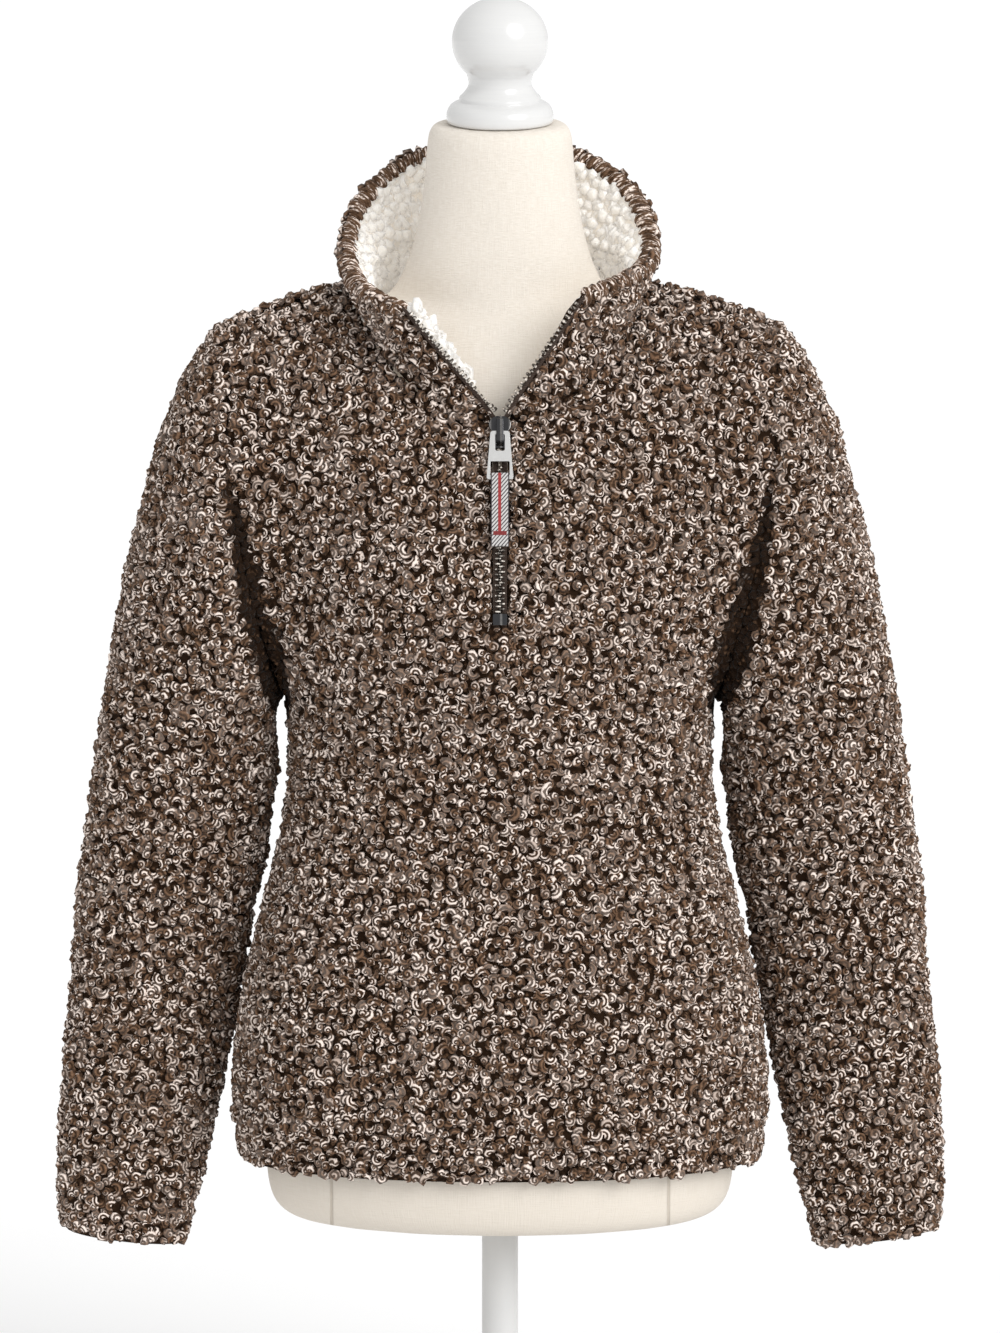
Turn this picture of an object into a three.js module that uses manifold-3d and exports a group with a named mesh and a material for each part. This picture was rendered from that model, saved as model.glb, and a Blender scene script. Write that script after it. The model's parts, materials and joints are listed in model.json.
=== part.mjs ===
// A women's quarter-zip pullover in chunky sherpa fleece, worn by a limbless dress form on a round base.
// Millimetres, +Z up, the front faces -Y, and the wearer's left is +X. The origin is on the floor
// under the pole.
import * as THREE from "three";
import { mergeVertices } from "three/addons/utils/BufferGeometryUtils.js";
import Module from "manifold-3d";

// Cloth
const FLEECE = 7; // ground cloth and loop pile together
const LINING = 5.5; // cream sherpa inside the collar
const SEAM_GAP = 0.3;
const HALF_GAP = SEAM_GAP / 2;
const NECK_GAP = 0.8; // at the curved neckline seam

// Pullover, outside the pile
const HEM_Z = 294;
const UNDERARM = { x: 151, y: 0, z: 618 };
const SHOULDER_TIP = { x: 197, y: 2, z: 880 };
const NECK_POINT = { x: 100, y: 5, z: 912 };
const FRONT_NECK = { y: -80, z: 820 };
const BACK_NECK = { y: 80, z: 925 };
const ARMHOLE_DEPTH = 62; // half the armhole, front to back
const ARMHOLE_BOW = 9; // how far the seam bows out past a straight line

// Zip
const SLIT_HALF = 6.5; // half the gap in the front that the zip fills
const SLIT_END = 0.06; // height of the slit's squared end, in rows
const ZIP_END = 0.3; // share of the way from underarm level up to the neckline
const TAPE_FROM = 1.7; // the tape shows from here past the cloth's edge
const TAPE_WIDTH = 5.4;
const TAPE_THICK = 1.2;
const TAPE_DEPTH = 2.1; // outer face of the tape below the pile's tips
const TEETH = { width: 2.8, thick: 2.4, depth: 1.5, from: 0.9 }; // from: rows above the neckline
const CHAIN = { width: 6.6, above: 0.4 };
const STOP = { width: 10, height: 8, thick: 3, edge: 1.2 };
const SLIDER = { lean: 25, row: 19.55, plate: 1.6, lift: 1.6, top: 10, bottom: -13.5 };
const SLIDER_WIDTH = { crown: 4, wings: 15.4, tail: 9.4 };
const BRIDGE = { width: 5, top: 9.2, bottom: -12.6, height: 4.8, thick: 1.4 };
const TAB = { thick: 1.8, pivot: -3, lift: 1.8, head: 1.1, length: 34, round: 2 };
const TAB_WIDTH = { head: 13, foot: 18.5 };
const TAB_SLOTS = [
  { width: 6.6, from: 1.1, to: 13.4, round: 1.4 },
  { width: 13.2, from: 21, to: 31.2, round: 0.8 },
];
const TAB_LEAN = 24; // degrees from straight down, resting on the chest
const WEBBING = { width: 12.4, thick: 1.3, reach: 82, joined: 47 };

// Dress form and stand
const FORM_BOTTOM = 250;
const POLE_RADIUS = 12.75;
const BASE = { radius: 150, thick: 14, edge: 3 };
const NECK_TILT = 0.12; // the neck's top plate drops towards the front
const CAP_TILT = -Math.atan(NECK_TILT);

const COLLAR_STAND = 1.5; // over 1, the collar stands up from its seam before it leans out
const COLLAR_FRONT = 6; // steps from the straight zip edge to where the collar stands up so

// Mesh fineness
const HALF_COLUMNS = 12; // from the middle of a panel to its side
const LOWER_ROWS = 10;
const UPPER_ROWS = 10;
const RELAX_PASSES = 5;
const SLEEVE_SIDES = 22;
const COLLAR_ROWS = 6;
const FORM_SIDES = 32;

// Body sections below the armholes: half width at the side seam, depth in front of and behind the seam
const BODY_SECTIONS = [
  { z: 294, half: 184, front: 114, back: 109 },
  { z: 312, half: 188, front: 118, back: 112 },
  { z: 345, half: 189, front: 120, back: 114 },
  { z: 385, half: 186, front: 120, back: 113 },
  { z: 425, half: 179, front: 116, back: 108 },
  { z: 480, half: 165, front: 108, back: 99 },
  { z: 535, half: 152, front: 104, back: 91 },
  { z: 575, half: 148.5, front: 107, back: 89 },
  { z: 605, half: 150, front: 114, back: 92 },
  { z: 618, half: 151, front: 117, back: 94 },
];

// Sleeve rings from the armhole to the cuff: the point against the body, the outermost point, half the depth,
// and how far behind the side seam the ring's middle hangs
const SLEEVE_RINGS = [
  { innerX: 151, innerZ: 618, outerX: 197, outerZ: 880, depth: 62, back: 1 },
  { innerX: 153.5, innerZ: 614, outerX: 210, outerZ: 865, depth: 66, back: 1 },
  { innerX: 155, innerZ: 610, outerX: 224, outerZ: 840, depth: 68, back: 2 },
  { innerX: 156, innerZ: 606, outerX: 238, outerZ: 806, depth: 67, back: 3 },
  { innerX: 156.5, innerZ: 602, outerX: 250, outerZ: 764, depth: 65, back: 4 },
  { innerX: 157, innerZ: 597, outerX: 262, outerZ: 716, depth: 61, back: 6 },
  { innerX: 157, innerZ: 591, outerX: 272, outerZ: 660, depth: 56, back: 9 },
  { innerX: 156.5, innerZ: 582, outerX: 280.5, outerZ: 612, depth: 51, back: 12 },
  { innerX: 155, innerZ: 566, outerX: 287, outerZ: 569, depth: 48, back: 16 },
  { innerX: 158.5, innerZ: 538, outerX: 291.5, outerZ: 536, depth: 46, back: 20 },
  { innerX: 163.5, innerZ: 504, outerX: 297, outerZ: 501, depth: 44, back: 24 },
  { innerX: 170.5, innerZ: 466, outerX: 301.5, outerZ: 461, depth: 42, back: 28 },
  { innerX: 179, innerZ: 427, outerX: 305, outerZ: 420, depth: 40, back: 31 },
  { innerX: 186.5, innerZ: 387, outerX: 309, outerZ: 378, depth: 38, back: 31 },
  { innerX: 194, innerZ: 348, outerX: 312.5, outerZ: 337, depth: 35.5, back: 28 },
  { innerX: 201.5, innerZ: 312, outerX: 314.5, outerZ: 302, depth: 33, back: 24 },
  { innerX: 209, innerZ: 278, outerX: 315.5, outerZ: 272, depth: 30.5, back: 20 },
  { innerX: 217, innerZ: 246, outerX: 314.5, outerZ: 251, depth: 28.5, back: 17 },
  { innerX: 221.5, innerZ: 228, outerX: 311, outerZ: 238, depth: 27, back: 15 },
];

// Collar stations from the wearer's left zip edge round the back to the right one: the rim, and how far
// the cloth between it and the neckline seam swells out. The right front flops lower and wider.
const COLLAR_STATIONS = [
  { rimX: 61, rimY: -90, rimZ: 904, swell: 2 },
  { rimX: 84, rimY: -70, rimZ: 915, swell: 6 },
  { rimX: 103, rimY: -38, rimZ: 922, swell: 4 },
  { rimX: 112, rimY: 4, rimZ: 936, swell: 3 },
  { rimX: 102, rimY: 44, rimZ: 968, swell: 4 },
  { rimX: 62, rimY: 76, rimZ: 996, swell: 4 },
  { rimX: 0, rimY: 88, rimZ: 1004, swell: 4 },
  { rimX: -64, rimY: 76, rimZ: 995, swell: 4 },
  { rimX: -104, rimY: 44, rimZ: 965, swell: 4 },
  { rimX: -114, rimY: 4, rimZ: 932, swell: 3 },
  { rimX: -107, rimY: -40, rimZ: 914, swell: 4 },
  { rimX: -91, rimY: -74, rimZ: 905, swell: 7 },
  { rimX: -70, rimY: -92, rimZ: 896, swell: 2 },
];

// Dress form sections: half width, depth in front of and behind the pole's line, how thin it gets
// towards the sides, and the tilt of the ring
const FORM_SECTIONS = [
  { z: 250, half: 138, front: 86, back: 84, pinch: 0, tilt: 0 },
  { z: 252.5, half: 150, front: 93, back: 91, pinch: 0, tilt: 0 },
  { z: 260, half: 160, front: 99, back: 96, pinch: 0, tilt: 0 },
  { z: 275, half: 165.5, front: 102, back: 98, pinch: 0, tilt: 0 },
  { z: 310, half: 167, front: 103, back: 99, pinch: 0, tilt: 0 },
  { z: 360, half: 164, front: 103, back: 100, pinch: 0, tilt: 0 },
  { z: 420, half: 152, front: 99, back: 95, pinch: 0, tilt: 0 },
  { z: 490, half: 133, front: 91, back: 84, pinch: 0, tilt: 0 },
  { z: 555, half: 120, front: 88, back: 76, pinch: 0, tilt: 0 },
  { z: 610, half: 128, front: 97, back: 78, pinch: 0, tilt: 0 },
  { z: 655, half: 136, front: 104, back: 84, pinch: 0, tilt: 0 },
  { z: 700, half: 142, front: 100, back: 88, pinch: 0, tilt: 0 },
  { z: 750, half: 150, front: 87, back: 91, pinch: 0.1, tilt: 0 },
  { z: 800, half: 160, front: 68, back: 90, pinch: 0.45, tilt: 0 },
  { z: 840, half: 166, front: 59, back: 84, pinch: 1.3, tilt: 0 },
  { z: 866, half: 164, front: 51, back: 76, pinch: 2.2, tilt: 0 },
  { z: 880, half: 143, front: 48, back: 71, pinch: 2.3, tilt: 0 },
  { z: 889, half: 112, front: 46, back: 68, pinch: 2.1, tilt: 0 },
  { z: 897, half: 84, front: 45, back: 65, pinch: 1.3, tilt: 0 },
  { z: 906, half: 73, front: 44, back: 62, pinch: 0.5, tilt: 0 },
  { z: 922, half: 65, front: 44, back: 60, pinch: 0, tilt: 0 },
  { z: 945, half: 58, front: 44, back: 57, pinch: 0, tilt: 0.02 },
  { z: 975, half: 53, front: 45, back: 53, pinch: 0, tilt: 0.06 },
  { z: 1004, half: 51, front: 46, back: 50, pinch: 0, tilt: 0.1 },
  { z: 1013, half: 50, front: 45.5, back: 49, pinch: 0, tilt: NECK_TILT },
  { z: 1018.5, half: 47, front: 42.5, back: 46, pinch: 0, tilt: NECK_TILT },
  { z: 1020, half: 42, front: 38, back: 41, pinch: 0, tilt: NECK_TILT },
];

// Neck cap, turned: radius and height above the neck's top plate
const CAP_PROFILE = [
  { r: 36.8, z: 0 },
  { r: 37.4, z: 4 },
  { r: 36, z: 9.5 },
  { r: 32.4, z: 13.5 },
  { r: 28.6, z: 15.4 },
  { r: 28, z: 18 },
  { r: 24.6, z: 21.6 },
  { r: 21.8, z: 26.4 },
  { r: 22.4, z: 30.5 },
];
const CAP_BALL = { radius: 33.5, height: 31, centreZ: 56.5, fromDegrees: -56 };

// Largest folds, as troughs seen from the front: from one point to another across the panel
const FRONT_FOLDS = [
  { x1: -168, z1: 700, x2: -60, z2: 668, width: 13, depth: 4.5 },
  { x1: -160, z1: 752, x2: -70, z2: 772, width: 12, depth: 3 },
  { x1: 170, z1: 690, x2: 72, z2: 640, width: 14, depth: 4.5 },
  { x1: 150, z1: 540, x2: 70, z2: 590, width: 13, depth: 3.5 },
  { x1: -150, z1: 550, x2: -80, z2: 508, width: 13, depth: 3.5 },
  { x1: 96, z1: 300, x2: 84, z2: 440, width: 17, depth: 4 },
  { x1: -104, z1: 300, x2: -92, z2: 420, width: 17, depth: 4 },
];
const BACK_FOLDS = [
  { x1: 165, z1: 710, x2: 50, z2: 640, width: 16, depth: 5 },
  { x1: -165, z1: 705, x2: -55, z2: 628, width: 16, depth: 5 },
  { x1: 148, z1: 560, x2: 30, z2: 572, width: 13, depth: 4 },
  { x1: -148, z1: 540, x2: -20, z2: 520, width: 13, depth: 4 },
  { x1: 62, z1: 300, x2: 48, z2: 460, width: 18, depth: 4 },
  { x1: -70, z1: 300, x2: -52, z2: 440, width: 18, depth: 4 },
];
const SLEEVE_FOLDS = [
  { x1: 236, z1: 770, x2: 232, z2: 660, width: 12, depth: 4 },
  { x1: 164, z1: 530, x2: 232, z2: 492, width: 11, depth: 4 },
  { x1: 170, z1: 470, x2: 246, z2: 446, width: 11, depth: 3.5 },
  { x1: 300, z1: 410, x2: 246, z2: 384, width: 11, depth: 3 },
];

const COLOURS = {
  fleece: { color: 0x5f5046, roughness: 0.95, metalness: 0 },
  lining: { color: 0xeee6da, roughness: 0.95, metalness: 0 },
  tape: { color: 0x3b2f29, roughness: 0.85, metalness: 0 },
  teeth: { color: 0x4a4038, roughness: 0.35, metalness: 1 },
  slider: { color: 0x2b2a2b, roughness: 0.3, metalness: 1 },
  tab: { color: 0xd4d4d2, roughness: 0.28, metalness: 1 },
  webbing: { color: 0x8a7f7c, roughness: 0.8, metalness: 0 },
  linen: { color: 0xe9e1d5, roughness: 0.9, metalness: 0 },
  white: { color: 0xf0f0ef, roughness: 0.35, metalness: 0 },
};

const wasm = await Module();
wasm.setup();
const vec = (x, y, z) => new THREE.Vector3(x, y, z);
const pick = (point) => vec(point.x, point.y, point.z);
const smooth = (t) => THREE.MathUtils.smoothstep(t, 0, 1);

// Interpolates every column of a table against one of them, smoothly through the rows.
function tableCurve(rows, key) {
  const columns = Object.keys(rows[0]).filter((name) => name !== key);
  const slope = (i, name) => {
    const low = rows[Math.max(i - 1, 0)];
    const high = rows[Math.min(i + 1, rows.length - 1)];
    return (high[name] - low[name]) / (high[key] - low[key]);
  };
  return (at) => {
    const found = rows.findIndex((row) => row[key] > at);
    const i = found < 0 ? rows.length - 2 : Math.max(found - 1, 0);
    const span = rows[i + 1][key] - rows[i][key];
    const t = (at - rows[i][key]) / span;
    return Object.fromEntries(
      columns.map((name) => [
        name,
        hermite(rows[i][name], rows[i + 1][name], slope(i, name) * span, slope(i + 1, name) * span, t),
      ]),
    );
  };
}

// Cubic from a to b with the given end slopes.
function hermite(a, b, slopeA, slopeB, t) {
  const s = 1 - t;
  return a * s * s * (1 + 2 * t) + b * t * t * (3 - 2 * t) + slopeA * s * s * t - slopeB * t * t * s;
}

function hermitePoint(a, b, slopeA, slopeB, t) {
  return vec(
    hermite(a.x, b.x, slopeA.x, slopeB.x, t),
    hermite(a.y, b.y, slopeA.y, slopeB.y, t),
    hermite(a.z, b.z, slopeA.z, slopeB.z, t),
  );
}

// Depth of the folds at a point, each a soft trough that fades towards its ends.
function foldDepth(folds, x, z) {
  return folds.reduce((sum, fold) => {
    const along = vec(fold.x2 - fold.x1, 0, fold.z2 - fold.z1);
    const from = vec(x - fold.x1, 0, z - fold.z1);
    const t = THREE.MathUtils.clamp(from.dot(along) / along.lengthSq(), 0, 1);
    const away = from.addScaledVector(along, -t).length() / fold.width;
    return sum + fold.depth * Math.exp(-away * away) * (1 - 0.6 * t);
  }, 0);
}

function meshOf(name, geometry, colour) {
  const mesh = new THREE.Mesh(geometry, new THREE.MeshStandardMaterial(COLOURS[colour]));
  mesh.name = name;
  return mesh;
}

function geometryOf(points, triangles) {
  const geometry = new THREE.BufferGeometry().setFromPoints(points).setIndex(triangles.flat());
  geometry.computeVertexNormals();
  return geometry;
}

const splitQuad = ([a, b, c, d]) => [
  [a, b, c],
  [a, c, d],
];

function pointNormals(points, triangles) {
  const normals = points.map(() => vec(0, 0, 0));
  for (const [a, b, c] of triangles) {
    const side = points[b].clone().sub(points[a]);
    const face = side.cross(points[c].clone().sub(points[a]));
    [a, b, c].forEach((i) => normals[i].add(face));
  }
  return normals.map((normal) => normal.normalize());
}

// Makes cloth of a surface: its far side lies a thickness behind each point, and each free edge is closed.
// A seam's points carry their own direction, so that the two pieces sewn there meet edge to edge.
function clothWall({ points, quads, seams = new Map(), folds = () => 0 }, thickness) {
  const triangles = quads.flatMap(splitQuad);
  const flat = pointNormals(points, triangles);
  const face = points.map((p, i) => p.clone().addScaledVector(flat[i], -folds(p)));
  const normals = pointNormals(face, triangles);
  const far = face.map((p, i) => p.clone().addScaledVector(seams.get(i) ?? normals[i], -thickness));
  const count = points.length;
  const edges = new Map();
  for (const [a, b, c] of triangles)
    for (const [from, to] of [[a, b], [b, c], [c, a]]) edges.set(`${from} ${to}`, [from, to]);
  const free = [...edges.values()].filter(([from, to]) => !edges.has(`${to} ${from}`));
  const rim = free.flatMap(([from, to]) => splitQuad([to, from, from + count, to + count]));
  const inside = triangles.map(([a, b, c]) => [a + count, c + count, b + count]);
  const geometry = geometryOf([...face, ...far], [...triangles, ...inside, ...rim]);
  return { outer: face, inner: far, normals, geometry };
}

// A closed bar through sections that have the same corners in turn.
function loft(sections) {
  const sides = sections[0].length;
  const quads = [];
  for (let i = 0; i + 1 < sections.length; i++)
    for (let j = 0; j < sides; j++) {
      const k = (j + 1) % sides;
      quads.push([i * sides + j, i * sides + k, (i + 1) * sides + k, (i + 1) * sides + j]);
    }
  const last = (sections.length - 1) * sides;
  const caps = [];
  for (let j = 1; j + 1 < sides; j++) caps.push([0, j + 1, j], [last, last + j, last + j + 1]);
  return geometryOf(sections.flat(), [...quads.flatMap(splitQuad), ...caps]);
}

// Body panels. across runs from 0 at the middle to 1 at the side seam or armhole, and facing is -1 in
// front and 1 behind.
const bodyAt = tableCurve(BODY_SECTIONS, "z");

function lowerBody(across, z, facing) {
  const row = bodyAt(z);
  const turn = (across * Math.PI) / 2;
  const depth = facing < 0 ? row.front : row.back;
  return vec(row.half * Math.sin(turn), facing * (depth * Math.cos(turn) ** 0.9 + HALF_GAP), z);
}

// The armhole seam, from the underarm at 0 over one side to the shoulder tip at 1.
function armhole(up, facing) {
  const angle = Math.PI * (1 - up);
  const middle = pick(SHOULDER_TIP).add(pick(UNDERARM)).multiplyScalar(0.5);
  const half = pick(SHOULDER_TIP).sub(pick(UNDERARM)).multiplyScalar(0.5);
  const point = middle.addScaledVector(half, Math.cos(angle));
  point.x += ARMHOLE_BOW * Math.sin(angle) ** 2;
  point.y += facing * (ARMHOLE_DEPTH * Math.sin(angle) + HALF_GAP);
  return point;
}

const NECK_COLUMNS = 7; // columns of a half panel that end at the neckline; the rest end at the shoulder seam
const NECK_SHARE = NECK_COLUMNS / HALF_COLUMNS;

// The panel's top edge: the neckline out to the neck point, then the shoulder seam.
function panelTop(across, facing) {
  const middle = facing < 0 ? FRONT_NECK : BACK_NECK;
  if (across > NECK_SHARE) {
    const t = (across - NECK_SHARE) / (1 - NECK_SHARE);
    const point = pick(NECK_POINT).lerp(pick(SHOULDER_TIP), t);
    point.z += 4 * Math.sin(Math.PI * t);
    point.y += facing * HALF_GAP;
    return point;
  }
  const turn = ((across / NECK_SHARE) * Math.PI) / 2;
  const rise = 1 - Math.cos(turn);
  return vec(
    NECK_POINT.x * Math.sin(turn),
    middle.y + (NECK_POINT.y - middle.y + facing * HALF_GAP) * rise,
    middle.z + (NECK_POINT.z - middle.z) * rise ** 0.8,
  );
}

// How the cloth runs as it reaches the top edge: up the chest at the middle, over the shoulder at the side.
function topSlope(across, facing) {
  const over = smooth(across / NECK_SHARE);
  const back = facing < 0 ? 0.52 + 0.42 * over : 0.3 + 0.62 * over;
  return vec(0, -facing * back, Math.sqrt(1 - back * back));
}

function upperBody(across, up, facing) {
  const curve = (s) => {
    const from = lowerBody(s, UNDERARM.z, facing);
    const to = panelTop(s, facing);
    const reach = from.distanceTo(to);
    const rise = from.clone().sub(lowerBody(s, UNDERARM.z - 1, facing)).normalize();
    return hermitePoint(from, to, rise.multiplyScalar(reach), topSlope(s, facing).multiplyScalar(reach), up);
  };
  const mend = armhole(up, facing).sub(curve(1)).multiplyScalar(across ** 4);
  return curve(across).add(mend);
}

function bodyPoint(across, row, facing) {
  const side = Math.abs(across);
  const point =
    row < LOWER_ROWS
      ? lowerBody(side, THREE.MathUtils.lerp(HEM_Z, UNDERARM.z, row / LOWER_ROWS), facing)
      : upperBody(side, (row - LOWER_ROWS) / UPPER_ROWS, facing);
  point.x *= Math.sign(across);
  return point;
}

// Directions through the wall along the seams.
function neckSeamNormal(point) {
  return vec(point.x, point.y * 1.2, 0).normalize().multiplyScalar(0.72).add(vec(0, 0, 0.69));
}

function bodySeamNormal(across, row, facing, point) {
  const side = Math.sign(across);
  const edge = Math.abs(across) === 1;
  if (row < LOWER_ROWS) return edge ? vec(side, 0, 0) : null;
  const up = (row - LOWER_ROWS) / UPPER_ROWS;
  if (row === LOWER_ROWS + UPPER_ROWS)
    return Math.abs(across) < NECK_SHARE + 1e-6 ? neckSeamNormal(point) : vec(0.26 * side, 0, 0.966);
  return edge ? armholeNormal(up, facing, side, 1) : null;
}

// At the armhole the body and the sleeve share a direction over the shoulder. Under the arm they lie side
// by side.
function armholeNormal(up, facing, side, away) {
  const angle = Math.PI * (1 - up);
  const over = vec(0.26 * side, facing * 0.1, 0.966);
  const front = vec(0, facing, 0.05);
  const under = vec(side * away, 0, 0);
  const low = Math.max(-Math.cos(angle), 0) ** 1.5;
  const high = Math.max(Math.cos(angle), 0) ** 1.5;
  const seam = over.multiplyScalar(high).add(under.multiplyScalar(low));
  return seam.addScaledVector(front, 1 - low - high).normalize();
}

// The slit moves the cloth aside, most at the middle.
const slitShift = (across) => SLIT_HALF * Math.max(0, 1 - Math.abs(across) / NECK_SHARE);

// A panel's rows from hem to top, with one more just above the slit's end to square it off.
function panelRows(slitRow) {
  const rows = Array.from({ length: LOWER_ROWS + UPPER_ROWS + 1 }, (_, row) => row);
  return slitRow < rows.length ? [...rows, slitRow + SLIT_END].sort((a, b) => a - b) : rows;
}

// Lets the cloth above the underarm settle between its seams, which stay where they are.
function relax(points, grid, fromRow) {
  for (let pass = 0; pass < RELAX_PASSES; pass++)
    for (let row = fromRow; row + 1 < grid.length; row++)
      for (let i = 1; i + 1 < grid[row].length; i++) {
        const [first, second] = grid[row][i];
        if (i === HALF_COLUMNS) continue;
        const beside = points[grid[row][i - 1][1]].clone().add(points[grid[row][i + 1][0]]);
        const above = points[grid[row - 1][i][0]].clone().add(points[grid[row + 1][i][0]]);
        points[first].lerp(beside.multiplyScalar(0.4).addScaledVector(above, 0.1), 0.5);
        if (second !== first) points[second].copy(points[first]);
      }
}

// One panel as a grid of points. A slit splits the middle column from the zip's end to the neckline.
function bodyPanel(facing, slitRow) {
  const columns = 2 * HALF_COLUMNS;
  const rows = panelRows(slitRow);
  const points = [];
  const seams = new Map();
  const put = (across, row, side) => {
    const point = bodyPoint(across, row, facing);
    if (row > slitRow) point.x += side * slitShift(across);
    const normal = bodySeamNormal(across, row, facing, point);
    if (normal) seams.set(points.length, normal);
    return points.push(point) - 1;
  };
  const across = (i) => (2 * i) / columns - 1;
  const grid = rows.map((row) =>
    Array.from({ length: columns + 1 }, (_, i) => {
      const middle = i === HALF_COLUMNS && row > slitRow;
      const first = put(across(i), row, i > HALF_COLUMNS ? 1 : -1);
      return middle ? [first, put(across(i), row, 1)] : [first, first];
    }),
  );
  relax(points, grid, rows.indexOf(LOWER_ROWS - 1));
  const quads = [];
  for (let row = 0; row + 1 < rows.length; row++)
    for (let i = 0; i < columns; i++) {
      const [low, high] = [grid[row], grid[row + 1]];
      const quad = [low[i][1], low[i + 1][0], high[i + 1][0], high[i][1]];
      quads.push(facing < 0 ? quad : quad.reverse());
    }
  const folds = facing < 0 ? FRONT_FOLDS : BACK_FOLDS;
  return { points, quads, seams, grid, folds: (p) => foldDepth(folds, p.x, p.z) * panelFade(p) };
}

// Folds fade out near the hem and the armhole seam, so that the edges stay sewn together.
function panelFade(p) {
  const fromHem = smooth((p.z - HEM_Z) / 30);
  const fromSide = smooth((bodyAt(Math.min(p.z, UNDERARM.z)).half + 4 - Math.abs(p.x)) / 30);
  return fromHem * fromSide;
}

const ZIP_ROW = LOWER_ROWS + Math.round(ZIP_END * UPPER_ROWS);
const frontPanel = bodyPanel(-1, ZIP_ROW);
const front = clothWall(frontPanel, FLEECE);
const back = clothWall(bodyPanel(1, Infinity), FLEECE);

// A sleeve: rings that fan out from the armhole round the underarm, then run down to the cuff.
function sleeve(side) {
  const points = [];
  const seams = new Map();
  SLEEVE_RINGS.forEach((ring, k) => {
    const inner = vec(ring.innerX, ring.back, ring.innerZ);
    const outer = vec(ring.outerX, ring.back, ring.outerZ);
    const middle = inner.clone().add(outer).multiplyScalar(0.5);
    const half = outer.clone().sub(inner).multiplyScalar(0.5);
    const bow = ARMHOLE_BOW * Math.max(0, 1 - k / 6);
    for (let j = 0; j < SLEEVE_SIDES; j++) {
      const angle = (2 * Math.PI * j) / SLEEVE_SIDES;
      const point = middle.clone().addScaledVector(half, Math.cos(angle));
      point.x += bow * Math.sin(angle) ** 2 + (k === 0 ? SEAM_GAP * 2 : 0);
      point.y -= ring.depth * Math.sin(angle);
      point.x *= side;
      if (k === 0) {
        const facing = angle < Math.PI ? -1 : 1;
        const up = 1 - Math.abs(angle > Math.PI ? 2 * Math.PI - angle : angle) / Math.PI;
        seams.set(points.length, armholeNormal(up, facing, side, -1));
      }
      points.push(point);
    }
  });
  const quads = [];
  for (let k = 0; k + 1 < SLEEVE_RINGS.length; k++)
    for (let j = 0; j < SLEEVE_SIDES; j++) {
      const next = (j + 1) % SLEEVE_SIDES;
      const [a, b] = [k * SLEEVE_SIDES, (k + 1) * SLEEVE_SIDES];
      const quad = [a + j, a + next, b + next, b + j];
      quads.push(side > 0 ? quad : quad.reverse());
    }
  const folds = (p) => foldDepth(SLEEVE_FOLDS, Math.abs(p.x), p.z);
  return clothWall({ points, quads, seams, folds }, FLEECE);
}

// The neckline seam at a step of the collar: along the front panel, round the back and along the front again.
function neckline(step) {
  const quarter = Math.min(Math.floor(step / NECK_COLUMNS), 3);
  const way = step / NECK_COLUMNS - quarter;
  const across = NECK_SHARE * (quarter % 2 ? 1 - way : way);
  const facing = quarter % 3 ? 1 : -1;
  const point = panelTop(across, facing);
  if (facing < 0) point.x += slitShift(across);
  point.x *= quarter < 2 ? 1 : -1;
  point.z += NECK_GAP;
  return point;
}

// The collar stands on the neckline, from one zip edge round the back to the other.
function collarGrid() {
  const last = COLLAR_STATIONS.length - 1;
  const station = tableCurve(COLLAR_STATIONS.map((row, i) => ({ at: i / last, ...row })), "at");
  const steps = 4 * NECK_COLUMNS;
  const points = [];
  const seams = new Map();
  for (let i = 0; i <= steps; i++) {
    const row = station(i / steps);
    const seam = neckline(i);
    const rim = vec(row.rimX, row.rimY, row.rimZ);
    const out = vec(seam.x + rim.x, seam.y + rim.y, 0).normalize();
    const stand = 1 + (COLLAR_STAND - 1) * smooth(Math.min(i, steps - i) / COLLAR_FRONT);
    for (let h = 0; h <= COLLAR_ROWS; h++) {
      const t = h / COLLAR_ROWS;
      const point = seam.clone().lerp(rim, t ** stand);
      point.z = THREE.MathUtils.lerp(seam.z, rim.z, t);
      point.addScaledVector(out, row.swell * Math.sin(Math.PI * t ** 1.7));
      if (h === 0) seams.set(points.length, neckSeamNormal(point));
      points.push(point);
    }
  }
  return { points, seams, steps };
}

// Quads of the collar's grid between two steps and two rows.
function collarQuads(fromStep, toStep, fromRow, toRow) {
  const quads = [];
  const stride = COLLAR_ROWS + 1;
  for (let i = fromStep; i < toStep; i++)
    for (let h = fromRow; h < toRow; h++) {
      const a = i * stride + h;
      quads.push([a, a + stride, a + stride + 1, a + 1]);
    }
  return quads;
}

const { points: collarPoints, seams: collarSeams, steps: COLLAR_END } = collarGrid();
const collar = clothWall(
  { points: collarPoints, quads: collarQuads(0, COLLAR_END, 0, COLLAR_ROWS), seams: collarSeams },
  FLEECE,
);

// The lining lies on the collar's inner points, moved in, and stops just short of the rim.
function collarLining() {
  const stride = COLLAR_ROWS + 1;
  const kept = collarPoints.map((_, i) => i).filter((i) => i % stride > 0);
  const place = new Map(kept.map((i, at) => [i, at]));
  const points = kept.map((i) => {
    const inward = collar.inner[i].clone().sub(collar.outer[i]).normalize();
    return collar.inner[i].clone().addScaledVector(inward, SEAM_GAP);
  });
  const quads = collarQuads(0, COLLAR_END, 1, COLLAR_ROWS).map((quad) => quad.map((i) => place.get(i)));
  return clothWall({ points, quads }, LINING);
}

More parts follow.
